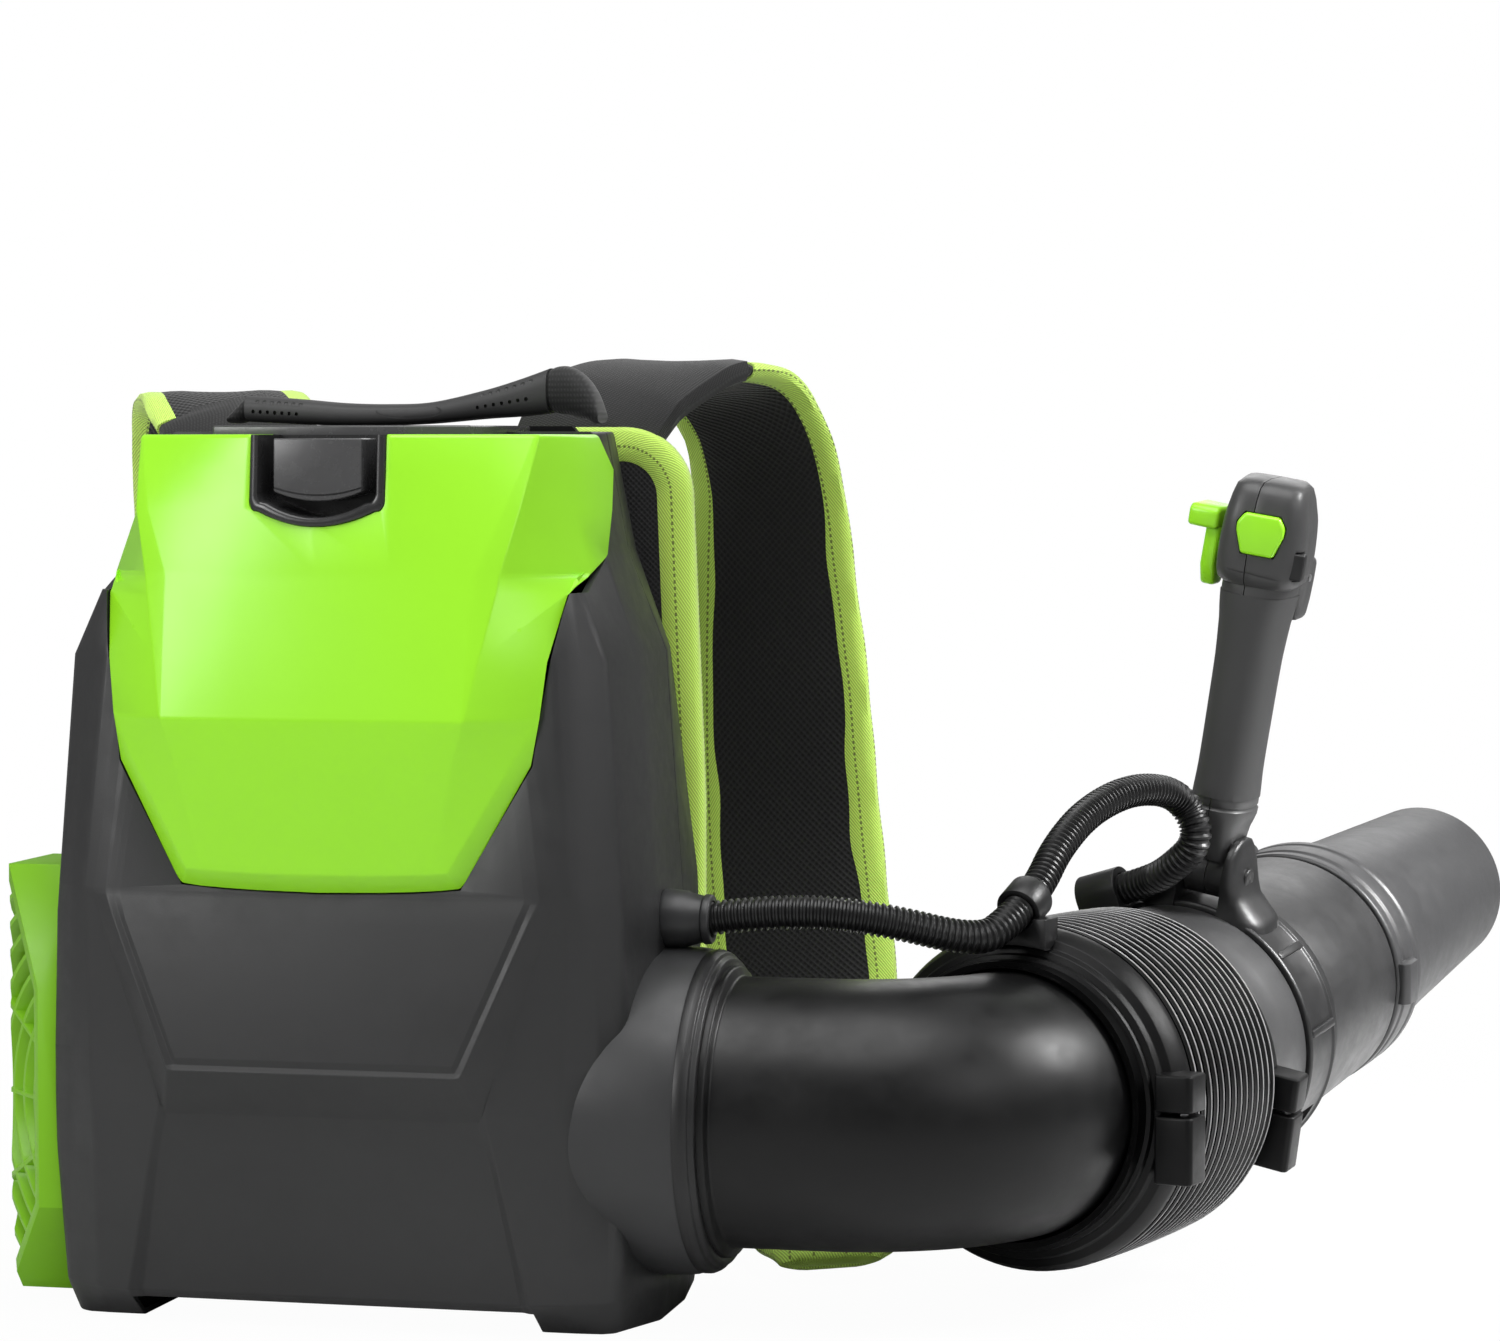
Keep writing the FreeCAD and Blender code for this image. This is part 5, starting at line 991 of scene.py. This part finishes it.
# Blow tube
tubeShape = {
    "swivel": [(-10, 64.5), (-10, 67.5), (12.4, 67.5), (12.4, 78.8), (15.6, 78.8), (18, 73.4),
               (40, 74.4), (64, 75.5), (64, 71.2), (60, 71.2), (56, 70), (24, 69), (18, 64.5)],
    "tube": [(60.2, 68), (60.2, 71), (150, 70.4), (218, 68.6), (218, 65.3), (240, 65.2), (240, 62.4),
             (214, 62.4), (206, 65.6)],
    "seal": [(101.2, 71.1), (101.2, 73.6), (103, 74.2), (112, 74.2), (115.4, 73), (116, 71.1)],
    "nozzle": [(222, 65.5), (222, 67.9), (223.4, 69.2), (228, 69.2), (229.4, 68.2), (233, 68.2),
               (234.4, 69.2), (246, 69.2), (247.4, 68.2), (251, 68.2), (252.4, 69), (257, 69),
               (260, 67), (262, 65.2), (266, 64.6), (269, 62.2), (330, 57), (449, 49.4), (452, 48.4),
               (452, 46), (330, 54.4), (270, 59.5), (254, 62.5), (250, 65.5)],
    "band": [(65, 71.3), (65, 77.4), (67.4, 78.4), (69, 77), (97, 77), (98.6, 78.4), (101, 76.6),
             (101, 71.3)],
    "tab": [(223, 67), (223, 71.5), (226, 74.4), (238, 74.4), (241, 71.5), (241, 67)],
    "rib": [(66, 76), (100, 76), (98, 79), (68, 79)],
    "notch": [(96, 79), (112, 84), (112, 96), (101, 90)],
    "pin": [(-21.4, 0.01), (-21.4, 5.4), (-20.8, 6.2), (-17.7, 6.2), (-17.7, 5), (17.7, 5), (17.7, 6.2),
            (20.8, 6.2), (21.4, 5.4), (21.4, 0.01)],
    # height, near end, far end, half width outside
    "cheek": [(60, 63, 107, 40), (72, 63, 107, 36), (78, 64, 105.6, 30), (84, 64.6, 104.6, 24.5),
              (92, 63.6, 106, 20.6), (100, 64.6, 104.6, 18.8), (107, 68, 101, 17.8),
              (112, 73, 96, 17), (114, 79, 90, 16)],
}


def around(rows, i):
    return rows[max(i - 1, 0)], rows[i], rows[i + 1], rows[min(i + 2, len(rows) - 1)]


def catmull(a, b, c, d, s):
    # from b to c on the smooth curve through all four
    return 0.5 * (2 * b + (c - a) * s + (2 * a - 5 * b + 4 * c - d) * s ** 2
                  + (3 * b - a - 3 * c + d) * s ** 3)


def held(a, b, c, d, s):
    # from b to c, never far past either
    low, high = sorted((b, c))
    value = b + s * ((c - a) / 2 * (1 - s) ** 2 + (c - b) * s * (3 - 2 * s) - (d - b) / 2 * s * (1 - s))
    return min(max(value, low - 0.6), high + 0.6)


def smoothRows(rows, step, curve=held):
    # the same rows with smooth ones put between them
    full = []
    for i in range(len(rows) - 1):
        near = around(rows, i)
        start, end = near[1][0], near[2][0]
        count = max(1, round(abs(end - start) / step))
        for k in range(count):
            row = [curve(*values, k / count) for values in zip(*near)]
            if curve is held:
                row[0] = start + k / count * (end - start)
            full.append(tuple(row))
    return full + [rows[-1]]


def makeTube():
    shape = tubeShape
    spunPiece("swivelTube", shape["swivel"], tubePlace, 0.8,
              "swivel", "wand", "swivel_tube")
    spunPiece("blowTube", shape["tube"], tubePlace, 0.8, "tube", "wand", "blow_tube")
    spunPiece("tubeSeal", shape["seal"], tubePlace, 0.7, "rubber", "wand", "tube_seal")
    parts = [spun("nozzlePipe", shape["nozzle"], tubePlace, soft=0.5)]
    for angle in (-38, 82, 202):
        tab = bar("nozzleTab", shape["tab"], (-12, 12))
        softEdges(tab, 1.0, 2)
        seat(tab, place(axis="X", turn=angle, inside=tubePlace))
        parts.append(tab)
    finishPiece(joinPieces("nozzlePipe", parts), "nozzle", "nozzle", "nozzle")
    # Band, cheeks, ribs and pin that carry the handle
    band = spun("handleBand", shape["band"], soft=0.7)
    for turn in (-62, 118):
        hole = boxTool((74, -12, 60), (92, 12, 90))
        seat(hole, place(axis="X", turn=turn))
        carve(band, hole)
    parts = [band]
    for side in (1, -1):
        rings = []
        for height, near, far, out in smoothRows(shape["cheek"], 2):
            middle, deep = (near + far) / 2, (far - near) / 2
            rings.append([(middle + deep * math.copysign(abs(math.cos(a)) ** 0.6, math.cos(a)),
                           side * (12.6 + (out - 12.6) * math.sin(a) ** 0.55), height)
                          for a in (math.pi * k / 24 for k in range(25))])
        cheek = loops("cheek", rings)
        carve(cheek, drillTool(74, 20, 140, (0, 0), "X", 128))
        notch = bar("cheekNotch", shape["notch"], (14, 60))
        seat(notch, Matrix.Scale(side, 4, (0, 1, 0)))
        editAll(notch, turnOut)
        carve(cheek, notch)
        softEdges(cheek, 0.8, 2, 40)
        parts.append(cheek)
    for turn in (-74, -40, 40, 74):
        rib = bar("bandRib", shape["rib"], (-2.2, 2.2))
        softEdges(rib, 0.8, 2)
        seat(rib, place(axis="X", turn=turn))
        parts.append(rib)
    bracket = joinPieces("handleBracket", parts)
    seat(bracket, tubePlace)
    finishPiece(bracket, "black", "wand", "handle_bracket")
    spunPiece("pivotPin", shape["pin"], place(85, 0, 92, "Z", 90, tubePlace), 0.4,
              "black", "wand", "pivot_pin", 48)
    print("tube shaped")


# Control handle
handleShape = {
    # height, back, front, half width, squareness
    "grip": [(9, -15, 15, 12, 3.6), (18, -17, 17, 12, 3.4), (27, -19.5, 19.5, 13.4, 3.0),
             (34, -22, 22, 16, 2.6), (37.6, -22.4, 22.4, 16.5, 2.5), (38.4, -21.6, 21.6, 15.7, 2.5),
             (39.4, -21.4, 21.4, 15.5, 2.5), (40.2, -22, 22, 16.1, 2.5), (60, -21.4, 21.4, 15.7, 2.3),
             (90, -21.2, 21.6, 15.8, 2.3), (120, -21.2, 22, 16.2, 2.3), (140, -22, 23.6, 17, 2.5),
             (152, -22.8, 26, 18, 2.8), (160, -22.8, 28, 18.2, 3.0), (166, -22, 28, 18, 3.0)],
    "head": [(161.4, -23.4, 27, 19.4, 3.6), (163.6, -25, 33.4, 22.2, 4.4), (168, -26.4, 34.4, 23, 5),
             (180, -27, 34, 23.4, 5), (196, -26.8, 31.6, 22.6, 5), (208, -24.6, 26, 20.4, 5),
             (214, -22, 21, 18.8, 4.6), (217, -17.5, 16, 16, 4), (218.2, -8, 7, 9, 3)],
    "guard": [(8, 176), (34.2, 176), (34, 164), (32.4, 152), (29, 141.6), (15, 141), (12, 150)],
    "guardHalf": 18.6, "wall": 2.5, "seam": 0.25,
    "button": [(-8.8, 179), (-12.8, 191), (-13, 195.5), (-9.4, 201), (9.4, 201), (13, 195.5),
               (12.8, 191), (8.8, 179)],
    "groove": [(-24, 166.4), (24, 169.4), (24, 170.4), (-24, 167.4)],
    "speedTab": [(-16, 186), (8, 186), (8, 196.4), (5, 198), (-13, 198), (-16, 196)],
    "speedPlate": [(-12, 188), (7, 188), (7, 164), (3, 155), (-8, 155), (-13, 166)],
    "sleeve": (40.6, 157.6), "sleeveRise": 0.5, "headTurn": 11,
}


def softRing(height, back, front, half, square, grow=0.0):
    middle, deep = (back + front) / 2, (front - back) / 2 + grow
    return [(middle + deep * c, (half + grow) * s, height) for c, s in rounded(64, 2 / square)]


def splitShells(whole):
    # two halves with a narrow seam between them
    left, seam = twinOf(whole), handleShape["seam"]
    carve(left, boxTool((-200, -100, -40), (200, seam, 400)))
    carve(whole, boxTool((-200, -seam, -40), (200, 100, 400)))
    for piece, side in ((left, "left"), (whole, "right")):
        piece.name = "handleShell" + side.title()
        softEdges(piece, 0.55, 2, 42)
        seat(piece, handlePlace)
        finishPiece(piece, "handle", "handle", "handle_" + side, 40)


def makeSleeve():
    shape = handleShape
    low, high = shape["sleeve"]
    rows = [row for row in smoothRows(shape["grip"], 4) if low < row[0] < high]
    sleeve = loops("gripSleeve", [softRing(*row, grow=shape["sleeveRise"]) for row in rows]
                   + [softRing(*row, grow=-0.4) for row in reversed(rows)], wrap=True)
    carve(sleeve, boxTool((12, -9.5, 120), (60, 9.5, 175)))
    softEdges(sleeve, 0.5, 2, 50)
    # the dimples' map runs round the grip and up
    layer, spots = sleeve.data.uv_layers.new(name="gripMap"), sleeve.data.vertices
    for face in sleeve.data.polygons:
        angles = [math.atan2(spots[v].co.y, spots[v].co.x) for v in face.vertices]
        over = max(angles) - min(angles) > math.pi
        for corner, vertex, angle in zip(face.loop_indices, face.vertices, angles):
            angle += 2 * math.pi if over and angle < 0 else 0
            layer.data[corner].uv = (angle * 0.0184, spots[vertex].co.z)
    seat(sleeve, handlePlace)
    finishPiece(sleeve, "dimpled", "handle", "grip_sleeve", 40)


def makeHandle():
    shape = handleShape
    grip = loops("gripCore", [softRing(*row) for row in smoothRows(shape["grip"], 4)])
    crown = loops("gripHead", [softRing(*row) for row in smoothRows(shape["head"], 3)])
    faceTurn = place(axis="Z", turn=shape["headTurn"])   # the head looks a little to the right
    seat(crown, faceTurn)
    half = shape["guardHalf"]
    guard = bar("gripGuard", shape["guard"], (-half, half))
    softEdges(guard, 4, 4)
    whole = united("gripWhole", [grip, crown, guard])
    eye = drillTool(13, -12, 12, (0, 0), "Y")
    web = boxTool((-11, -12, 6), (11, 12, 20))
    whole = united("gripWhole", [whole, eye, web])
    carve(whole, drillTool(5.2, -30, 30, (0, 0), "Y", 48))
    carve(whole, boxTool((13, -8.5, 125), (60, 8.5, 173)))
    slot = bar("buttonSlot", [(y * 1.045, 190 + (z - 190) * 1.045) for y, z in shape["button"]],
               (-60, -17), axis="X")
    groove = bar("lipLine", shape["groove"], (-60, -25.6), axis="X")
    rock = boxTool((-25, -30, 167.6), (-14, -19.9, 183.8))
    for tool in (slot, groove, rock):
        seat(tool, faceTurn)
        carve(whole, tool)
    splitShells(whole)
    makeSleeve()
    # Thumb button with a crowned face
    button = bar("thumbButton", shape["button"], (-29.4, -16), axis="X")
    softEdges(button, 1.8, 4)
    seat(button, faceTurn, handlePlace)
    finishPiece(button, "greenControl", "thumb", "thumb_button")
    # Speed lever: tab, plate and hub beside the head
    tab = bar("speedTab", shape["speedTab"], (23.6, 41))
    softEdges(tab, 2.2, 4)
    plate = bar("speedPlate", shape["speedPlate"], (23.4, 31.5))
    softEdges(plate, 2, 3)
    lever = united("speedLever", [tab, plate, drillTool(6, 17, 26, (-4, 179), "Y", 48)])
    seat(lever, handlePlace)
    finishPiece(lever, "greenControl", "speed", "speed_lever")
    tidyCopy("trigger", "black", "trigger", 1.2, 3)
    rocker = boxTool((-24, -25.2, 168.4), (-15, -17, 183))
    softEdges(rocker, 1.2, 3)
    seat(rocker, faceTurn, handlePlace)
    rocker.name = "powerRocker"
    finishPiece(rocker, "black", "power", "power_switch")
    print("handle shaped")


def makeHolder():
    # hood over the conduit's end, hollowed by the conduit and by the tube below it
    arch = [(12.6 * math.cos(a), 12.6 * math.sin(a)) for a in (math.pi * k / 20 for k in range(21))]
    hood = bar("conduitHood", arch + [(-12.6, -14), (12.6, -14)], (0, 24))
    carve(hood, drillTool(9.0, -5, 40, (0, 0), "Y", 48))
    softEdges(hood, 1.2, 3)
    seat(hood, place(59, 40, 78.3, "X", -28, tubePlace))
    tube = drillTool(77, 30, 110, (0, 0), "X", 128)
    seat(tube, tubePlace)
    carve(hood, tube)
    finishPiece(hood, "black", "wand", "conduit_holder")
    tidyCopy("conduit_clip", "black", "elbow", 0.8)
    print("conduit holder shaped")


# Harness
harnessShape = {
    # from the shoulder over the wearer's back down to the foot
    "route": [(70, 112, 424), (80, 123, 446), (92, 141, 463), (112, 171, 473), (130, 201, 467),
              (142, 222, 448), (147, 242, 412), (147, 255, 362), (149, 260, 306), (152, 259, 250),
              (158, 250, 198), (168, 232, 146), (181, 203, 94), (194, 168, 50), (206, 133, 21),
              (212, 108, 12)],
    "widths": [70, 78, 82, 82, 80, 78, 82, 90, 98, 102, 104, 103, 99, 92, 80, 52],
    "thick": 13.0, "binding": 17.0, "bindingRise": 0.9, "steps": 150,
    # left and right straps: the left one hangs lower and stands further out
    "left": {"side": -1, "drop": 15, "tuck": 0.18, "spread": 32},
    "right": {"side": 1, "drop": 0, "tuck": 0, "spread": 0},
    "woven": {"left": 2.2, "right": 3.4},   # where the padded part starts along the route
    "bound": {"left": {1: 1.7, -1: 2.2}, "right": {1: 3.4, -1: 3.4}},   # and each edge's binding
}


def alongRoute(points, share):
    # point, direction and place between the route's points, by a smooth curve
    spot = share * (len(points) - 1)
    i = min(int(spot), len(points) - 2)
    s = spot - i
    before, here, after, later = around(points, i)
    if i == 0:
        before = here * 2 - after
    if i + 2 >= len(points):
        later = after * 2 - here
    run = 0.5 * ((after - before) + 2 * (2 * before - 5 * here + 4 * after - later) * s
                 + 3 * (3 * here - before - 3 * after + later) * s ** 2)
    return catmull(before, here, after, later, s), run.normalized(), spot


def strapFrames(side, drop, tuck, spread):
    # along the strap: point, across, out, half width, half thickness, length so far, place on the route
    shape = harnessShape
    points = [Vector((side * (x + spread * min(1, z / 320)) * (1 - tuck * max(0, 1 - z / 320)), y,
                      z - drop * z / 474))
              for x, y, z in shape["route"]]
    frames, length, last = [], 0.0, None
    for k in range(shape["steps"] + 1):
        point, run, spot = alongRoute(points, k / shape["steps"])
        across = (Vector((1, 0, 0)) - run * run.x).normalized()
        i = min(int(spot), len(points) - 2)
        wide = shape["widths"][i] + (shape["widths"][i + 1] - shape["widths"][i]) * (spot - i)
        length += (point - last).length if last else 0
        last = point
        end = min(1, 0.55 + 0.45 * min(spot, len(points) - 1 - spot))
        frames.append((point, across, run.cross(across), wide / 2, shape["thick"] / 2 * end, length, spot))
    return frames


def frameAfter(frames, spot):
    return next(k for k, frame in enumerate(frames) if frame[-1] > spot)


def strapRing(frame):
    # a flat padded section: crowned faces, drawn in beside the bindings
    point, across, out, half, deep, length, _ = frame
    ring = []
    for c, s in rounded(36, 0.42, 0.62):
        a, b = half * c, deep * s
        share = abs(a) / half
        b *= 1.08 - 0.42 * max(0, share - 0.55) / 0.45
        puff = 0.5 * math.sin(length * 0.045) * (1 - share)
        ring.append((point + across * a + out * (b + (puff if b > 0 else 0)),
                     (a if s >= 0 else 3 * half - a, length)))
    return ring


def runsOf(line):
    # how far along the line each of its points lies
    runs = [0.0]
    for (a, b), (c, d) in zip(line, line[1:]):
        runs.append(runs[-1] + math.hypot(c - a, d - b))
    return runs


def bindingRows(frames, edge):
    # a folded band that wraps one edge of the strap
    wide, rise = harnessShape["binding"], harnessShape["bindingRise"]
    rows = []
    for point, across, out, half, deep, length, _ in frames:
        flat = deep * 0.72
        wave = 0.35 * math.sin(length * 0.11 + edge)
        outer = [(half - wide, flat + rise * 0.2), (half - wide + 0.8, flat + rise + wave * 0.3),
                 (half - wide / 2, flat + rise * 0.6), (half - 4, flat + rise - 0.8),
                 (half + 0.2, flat * 0.7), (half + 1.5 + wave, 0)]
        outer += [(a, -b) for a, b in reversed(outer[:-1])]
        inner = [(half - 0.8, -flat * 0.5), (half - 1.6, 0), (half - 0.8, flat * 0.5)]
        line = outer + [(half - wide + 0.6, -flat + 1.4)] + inner + [(half - wide + 0.6, flat - 1.4)]
        rows.append([(point + across * (edge * a) + out * b, (run, length))
                     for (a, b), run in zip(line, runsOf(line))])
    return rows


def footRows(frames):
    # lime band folded over the strap's foot
    tail = [(*frame[:3], frame[3] + 1.3, frame[4] + 1.2, *frame[5:]) for frame in frames[-4:]]
    ahead = (frames[-1][0] - frames[-2][0]).normalized() * 2
    point, across, out, half, deep, length, spot = frames[-1]
    tail.append((point + ahead, across, out, half - 0.5, deep - 0.6, length + 2, spot))
    return [strapRing(frame) for frame in tail]


def wovenRows(frames, bound):
    # plain woven cover on the top part, drawn in between the bindings where they have begun
    rows = []
    for point, across, out, half, deep, length, spot in frames:
        right, left = (half - (13 if spot > bound[edge] else 0) for edge in (1, -1))
        over = [(right + 0.8, 0), (right - 1, deep * 0.8), (right * 0.7, deep + 0.9),
                (0, deep * 1.08 + 0.9), (-left * 0.7, deep + 0.9), (-left + 1, deep * 0.8),
                (-left - 0.8, 0)]
        line = over + [(a, -b) for a, b in reversed(over[1:-1])]
        rows.append([(point + across * a + out * b, (a if b >= 0 else 3 * half - a, length))
                     for a, b in line])
    return rows


def makeHarness():
    shape = harnessShape
    for side in ("right", "left"):
        frames, bound = strapFrames(**shape[side]), shape["bound"][side]
        strap = bandMesh("strap" + side.title(), [strapRing(frame) for frame in frames])
        carve(strap, boxTool((-300, 40, 380), (300, 111.5, 450)))
        finishPiece(strap, "hexMesh", "pack", "strap_" + side, 60)
        for edge in (1, -1):
            covered = frames[frameAfter(frames, bound[edge]):-3]
            binding = bandMesh("strapBinding", bindingRows(covered, edge))
            finishPiece(binding, "binding", "pack", smooth=50)
        foot = bandMesh("strapFoot", footRows(frames))
        finishPiece(foot, "binding", "pack", smooth=50)
        covered = frames[frameAfter(frames, 0.3):frameAfter(frames, shape["woven"][side]) + 2]
        cover = bandMesh("strapCover", wovenRows(covered, bound))
        carve(cover, boxTool((-300, 40, 380), (300, 111.3, 450)))
        finishPiece(cover, "woven", "pack", smooth=40)
    makePad()
    for side in ("left", "right"):
        tidyCopy("webbing_" + side, "ribbedWeb", "pack", 0)
        tidyCopy("buckle_" + side, "black", "pack", 1.2, 3)
    print("harness shaped")


padShape = {
    "half": 143, "foot": 62, "top": 445, "corner": 36, "front": 106.6, "back": 128.4,
    "rows": [170, 270, 360], "binding": 18, "cell": 5.0,
}


def padOutline(inset, points=10):
    shape = padShape
    half, low, high = shape["half"] - inset, shape["foot"] + inset, shape["top"] - inset
    corner, top, waist = shape["corner"], shape["half"] * 0.955 - inset, (low + high) / 2
    line = []
    for cx, cz, start in ((half - corner, low + corner, -90), (top - corner, high - corner, 0)):
        if start == 0:
            line.append((half, waist))
        for k in range(points + 1):
            a = math.radians(start + 90 * k / points)
            line.append((cx + corner * math.cos(a), cz + corner * math.sin(a)))
    return line + [(-x, z) for x, z in reversed(line)]


def fillPad(pad):
    # the cushion is filled out by a short cloth run, held at its front and along its seams
    shape = padShape
    front, back = shape["front"], shape["back"]
    modified(pad, "REMESH", mode="VOXEL", voxel_size=shape["cell"] * mm)
    seams = pad.vertex_groups.new(name="held")
    seams.add([v.index for v in pad.data.vertices
               if v.co.y < (front + 2.5) * mm or any(abs(v.co.z - z * mm) < 0.003 for z in shape["rows"])
               or abs(v.co.x) < 0.007], 1.0, "REPLACE")
    cloth = pad.modifiers.new("filling", "CLOTH")
    settings = cloth.settings
    settings.quality, settings.mass = 6, 0.25
    settings.tension_stiffness = settings.compression_stiffness = 12
    settings.bending_stiffness = 0.4
    settings.use_pressure, settings.uniform_pressure_force = True, 4
    settings.vertex_group_mass = "held"
    settings.effector_weights.gravity = 0
    cloth.point_cache.frame_start, cloth.point_cache.frame_end = 1, 20
    for number in range(1, 21):
        bpy.context.scene.frame_set(number)
    bpy.ops.object.modifier_apply(modifier=cloth.name)
    bpy.context.scene.frame_set(1)
    for v in pad.data.vertices:
        v.co.y = min(max(v.co.y, (front - 0.4) * mm), (back + 4) * mm)
    modified(pad, "SUBSURF", levels=1, render_levels=1)


def makePad():
    shape = padShape
    front, back, wide = shape["front"], shape["back"], shape["binding"]
    levels = [(front, 6), (front + 4, 3), (back - 9, 4), (back - 7, 14)]
    pad = loops("padCushion", [[(x, y, z) for x, z in padOutline(inset)] for y, inset in levels])
    fillPad(pad)
    finishPiece(pad, "padMesh", "pack", "back_pad", 60)
    # Lime binding round the pad's edge
    profile = [(-wide, back - 7.5), (-wide + 1, back - 6.4), (-9, back - 7), (-2.5, back - 10),
               (0.6, (front + back) / 2 - 2), (0.4, front + 3), (-2, front + 0.2), (-9, front - 0.6),
               (-17, front - 0.3), (-18, front + 0.6), (-17, front + 1.4), (-3, front + 2.4),
               (-1.4, front + 5), (-1.4, back - 12), (-6, back - 9.4)]
    line = padOutline(0, 16)
    rows = []
    for k, run in enumerate(runsOf(line + line[:1])):
        (px, pz), (x, z), (nx, nz) = (line[(k + step) % len(line)] for step in (-1, 0, 1))
        ahead = Vector((nx - px, 0, nz - pz)).normalized()
        outward = Vector((ahead.z, 0, -ahead.x))
        rows.append([(Vector((x, y, z)) + outward * deep, (across, run))
                     for (deep, y), across in zip(profile, runsOf(profile))])
    finishPiece(bandMesh("padBinding", rows), "binding", "pack", smooth=50)
    print("pad shaped")


# Carry handle
carryShape = {
    # along, height, half depth, half thickness of the limp rubber grip and of the webbing's two ends
    "place": 66,
    "grip": [(-89, 455, 12, 6.8), (-63, 453.6, 13, 6.6), (-37, 452, 13.5, 6), (-13, 451.8, 13.5, 5.6),
             (11, 452.8, 13.5, 5.6), (39, 457, 13.5, 7.4), (58, 460.4, 13, 9.6), (74, 464, 12, 11.6)],
    "webbing": [[(-99, 449.5, 11, 2), (-94, 452.5, 10.5, 5), (-90, 455, 10, 6), (-86, 455, 9, 4)],
                [(70, 463.4, 9, 7), (76, 464.4, 11, 11.4), (84, 464, 12, 12.4), (92, 460.5, 12, 11),
                    (98, 455, 11, 8), (101, 450.5, 10, 3)]],
    "oval": (1, 36, 8), "dimples": [(-84, -56, 7), (38, 68, 7)],
}


def flatRings(rows, sides, square=0.7):
    middle = carryShape["place"]
    return [[(along, middle + deep * c, height + thick * s) for c, s in rounded(sides, square)]
            for along, height, deep, thick in rows]


def ovalBar(name, spot, height, wide, tall, across):
    return bar(name, [(spot + wide * math.cos(a), height + tall * math.sin(a)) for a in turns(48)], across)


def makeCarry():
    shape = carryShape
    middle = shape["place"]
    rows = smoothRows(shape["grip"], 1.5, catmull)
    grip = loops("carryGrip", flatRings(rows, 48))

    def rowNear(along):
        return min(rows, key=lambda row: abs(row[0] - along))

    # Oval in the middle of the front, and dimples at both ends
    spot, wide, tall = shape["oval"]
    height = rowNear(spot)[1] + 1.5
    ring = ovalBar("carryOval", spot, height, wide / 2, tall / 2, (middle - 20, middle - 13.1))
    carve(ring, ovalBar("carryOvalCore", spot, height, wide / 2 - 1, tall / 2 - 1, (middle - 30, middle)))
    carve(grip, ring)
    for low, high, count in shape["dimples"]:
        for k in range(count):
            for lane in (-1, 1):
                along = low + (high - low) * (k + 0.5 * (lane > 0)) / count
                _, height, deep, thick = rowNear(along)
                clearPick()
                bpy.ops.mesh.primitive_uv_sphere_add(
                    segments=12, ring_count=8, radius=1.3 * mm,
                    location=(along * mm, (middle - deep * 0.93) * mm,
                              (height + thick * (0.25 + 0.42 * lane)) * mm))
                carve(grip, bpy.context.object)
    finishPiece(grip, "gripRubber", "carry", "carry_handle", 50)
    ends = [loops("carryWebbing", flatRings(smoothRows(end, 1, catmull), 40, 0.8))
            for end in shape["webbing"]]
    finishPiece(joinPieces("carryWebbing", ends), "ribbedWeb", "carry", "carry_webbing", 50)
    print("carry handle shaped")


# Bay and intake
def makeBay():
    # the black rim takes the lighter tab finish as a painted highlight along its edge
    tidyCopy("bay_rim", "latchTab", "pack", 1.2, 3)
    tidyCopy("bay_liner", "black", "pack", 0.4)
    # the grille's darker lime is painted shade
    tidyCopy("intake_grille", "grille", "pack")
    tidyCopy("intake_seat", "black", "pack")
    print("bay and intake dressed")


makeHousing()
makeCover()
makeLatch()
makeConduits()
makeElbow()
makeBellows()
makeTube()
makeHandle()
makeHolder()
makeHarness()
makeCarry()
makeBay()
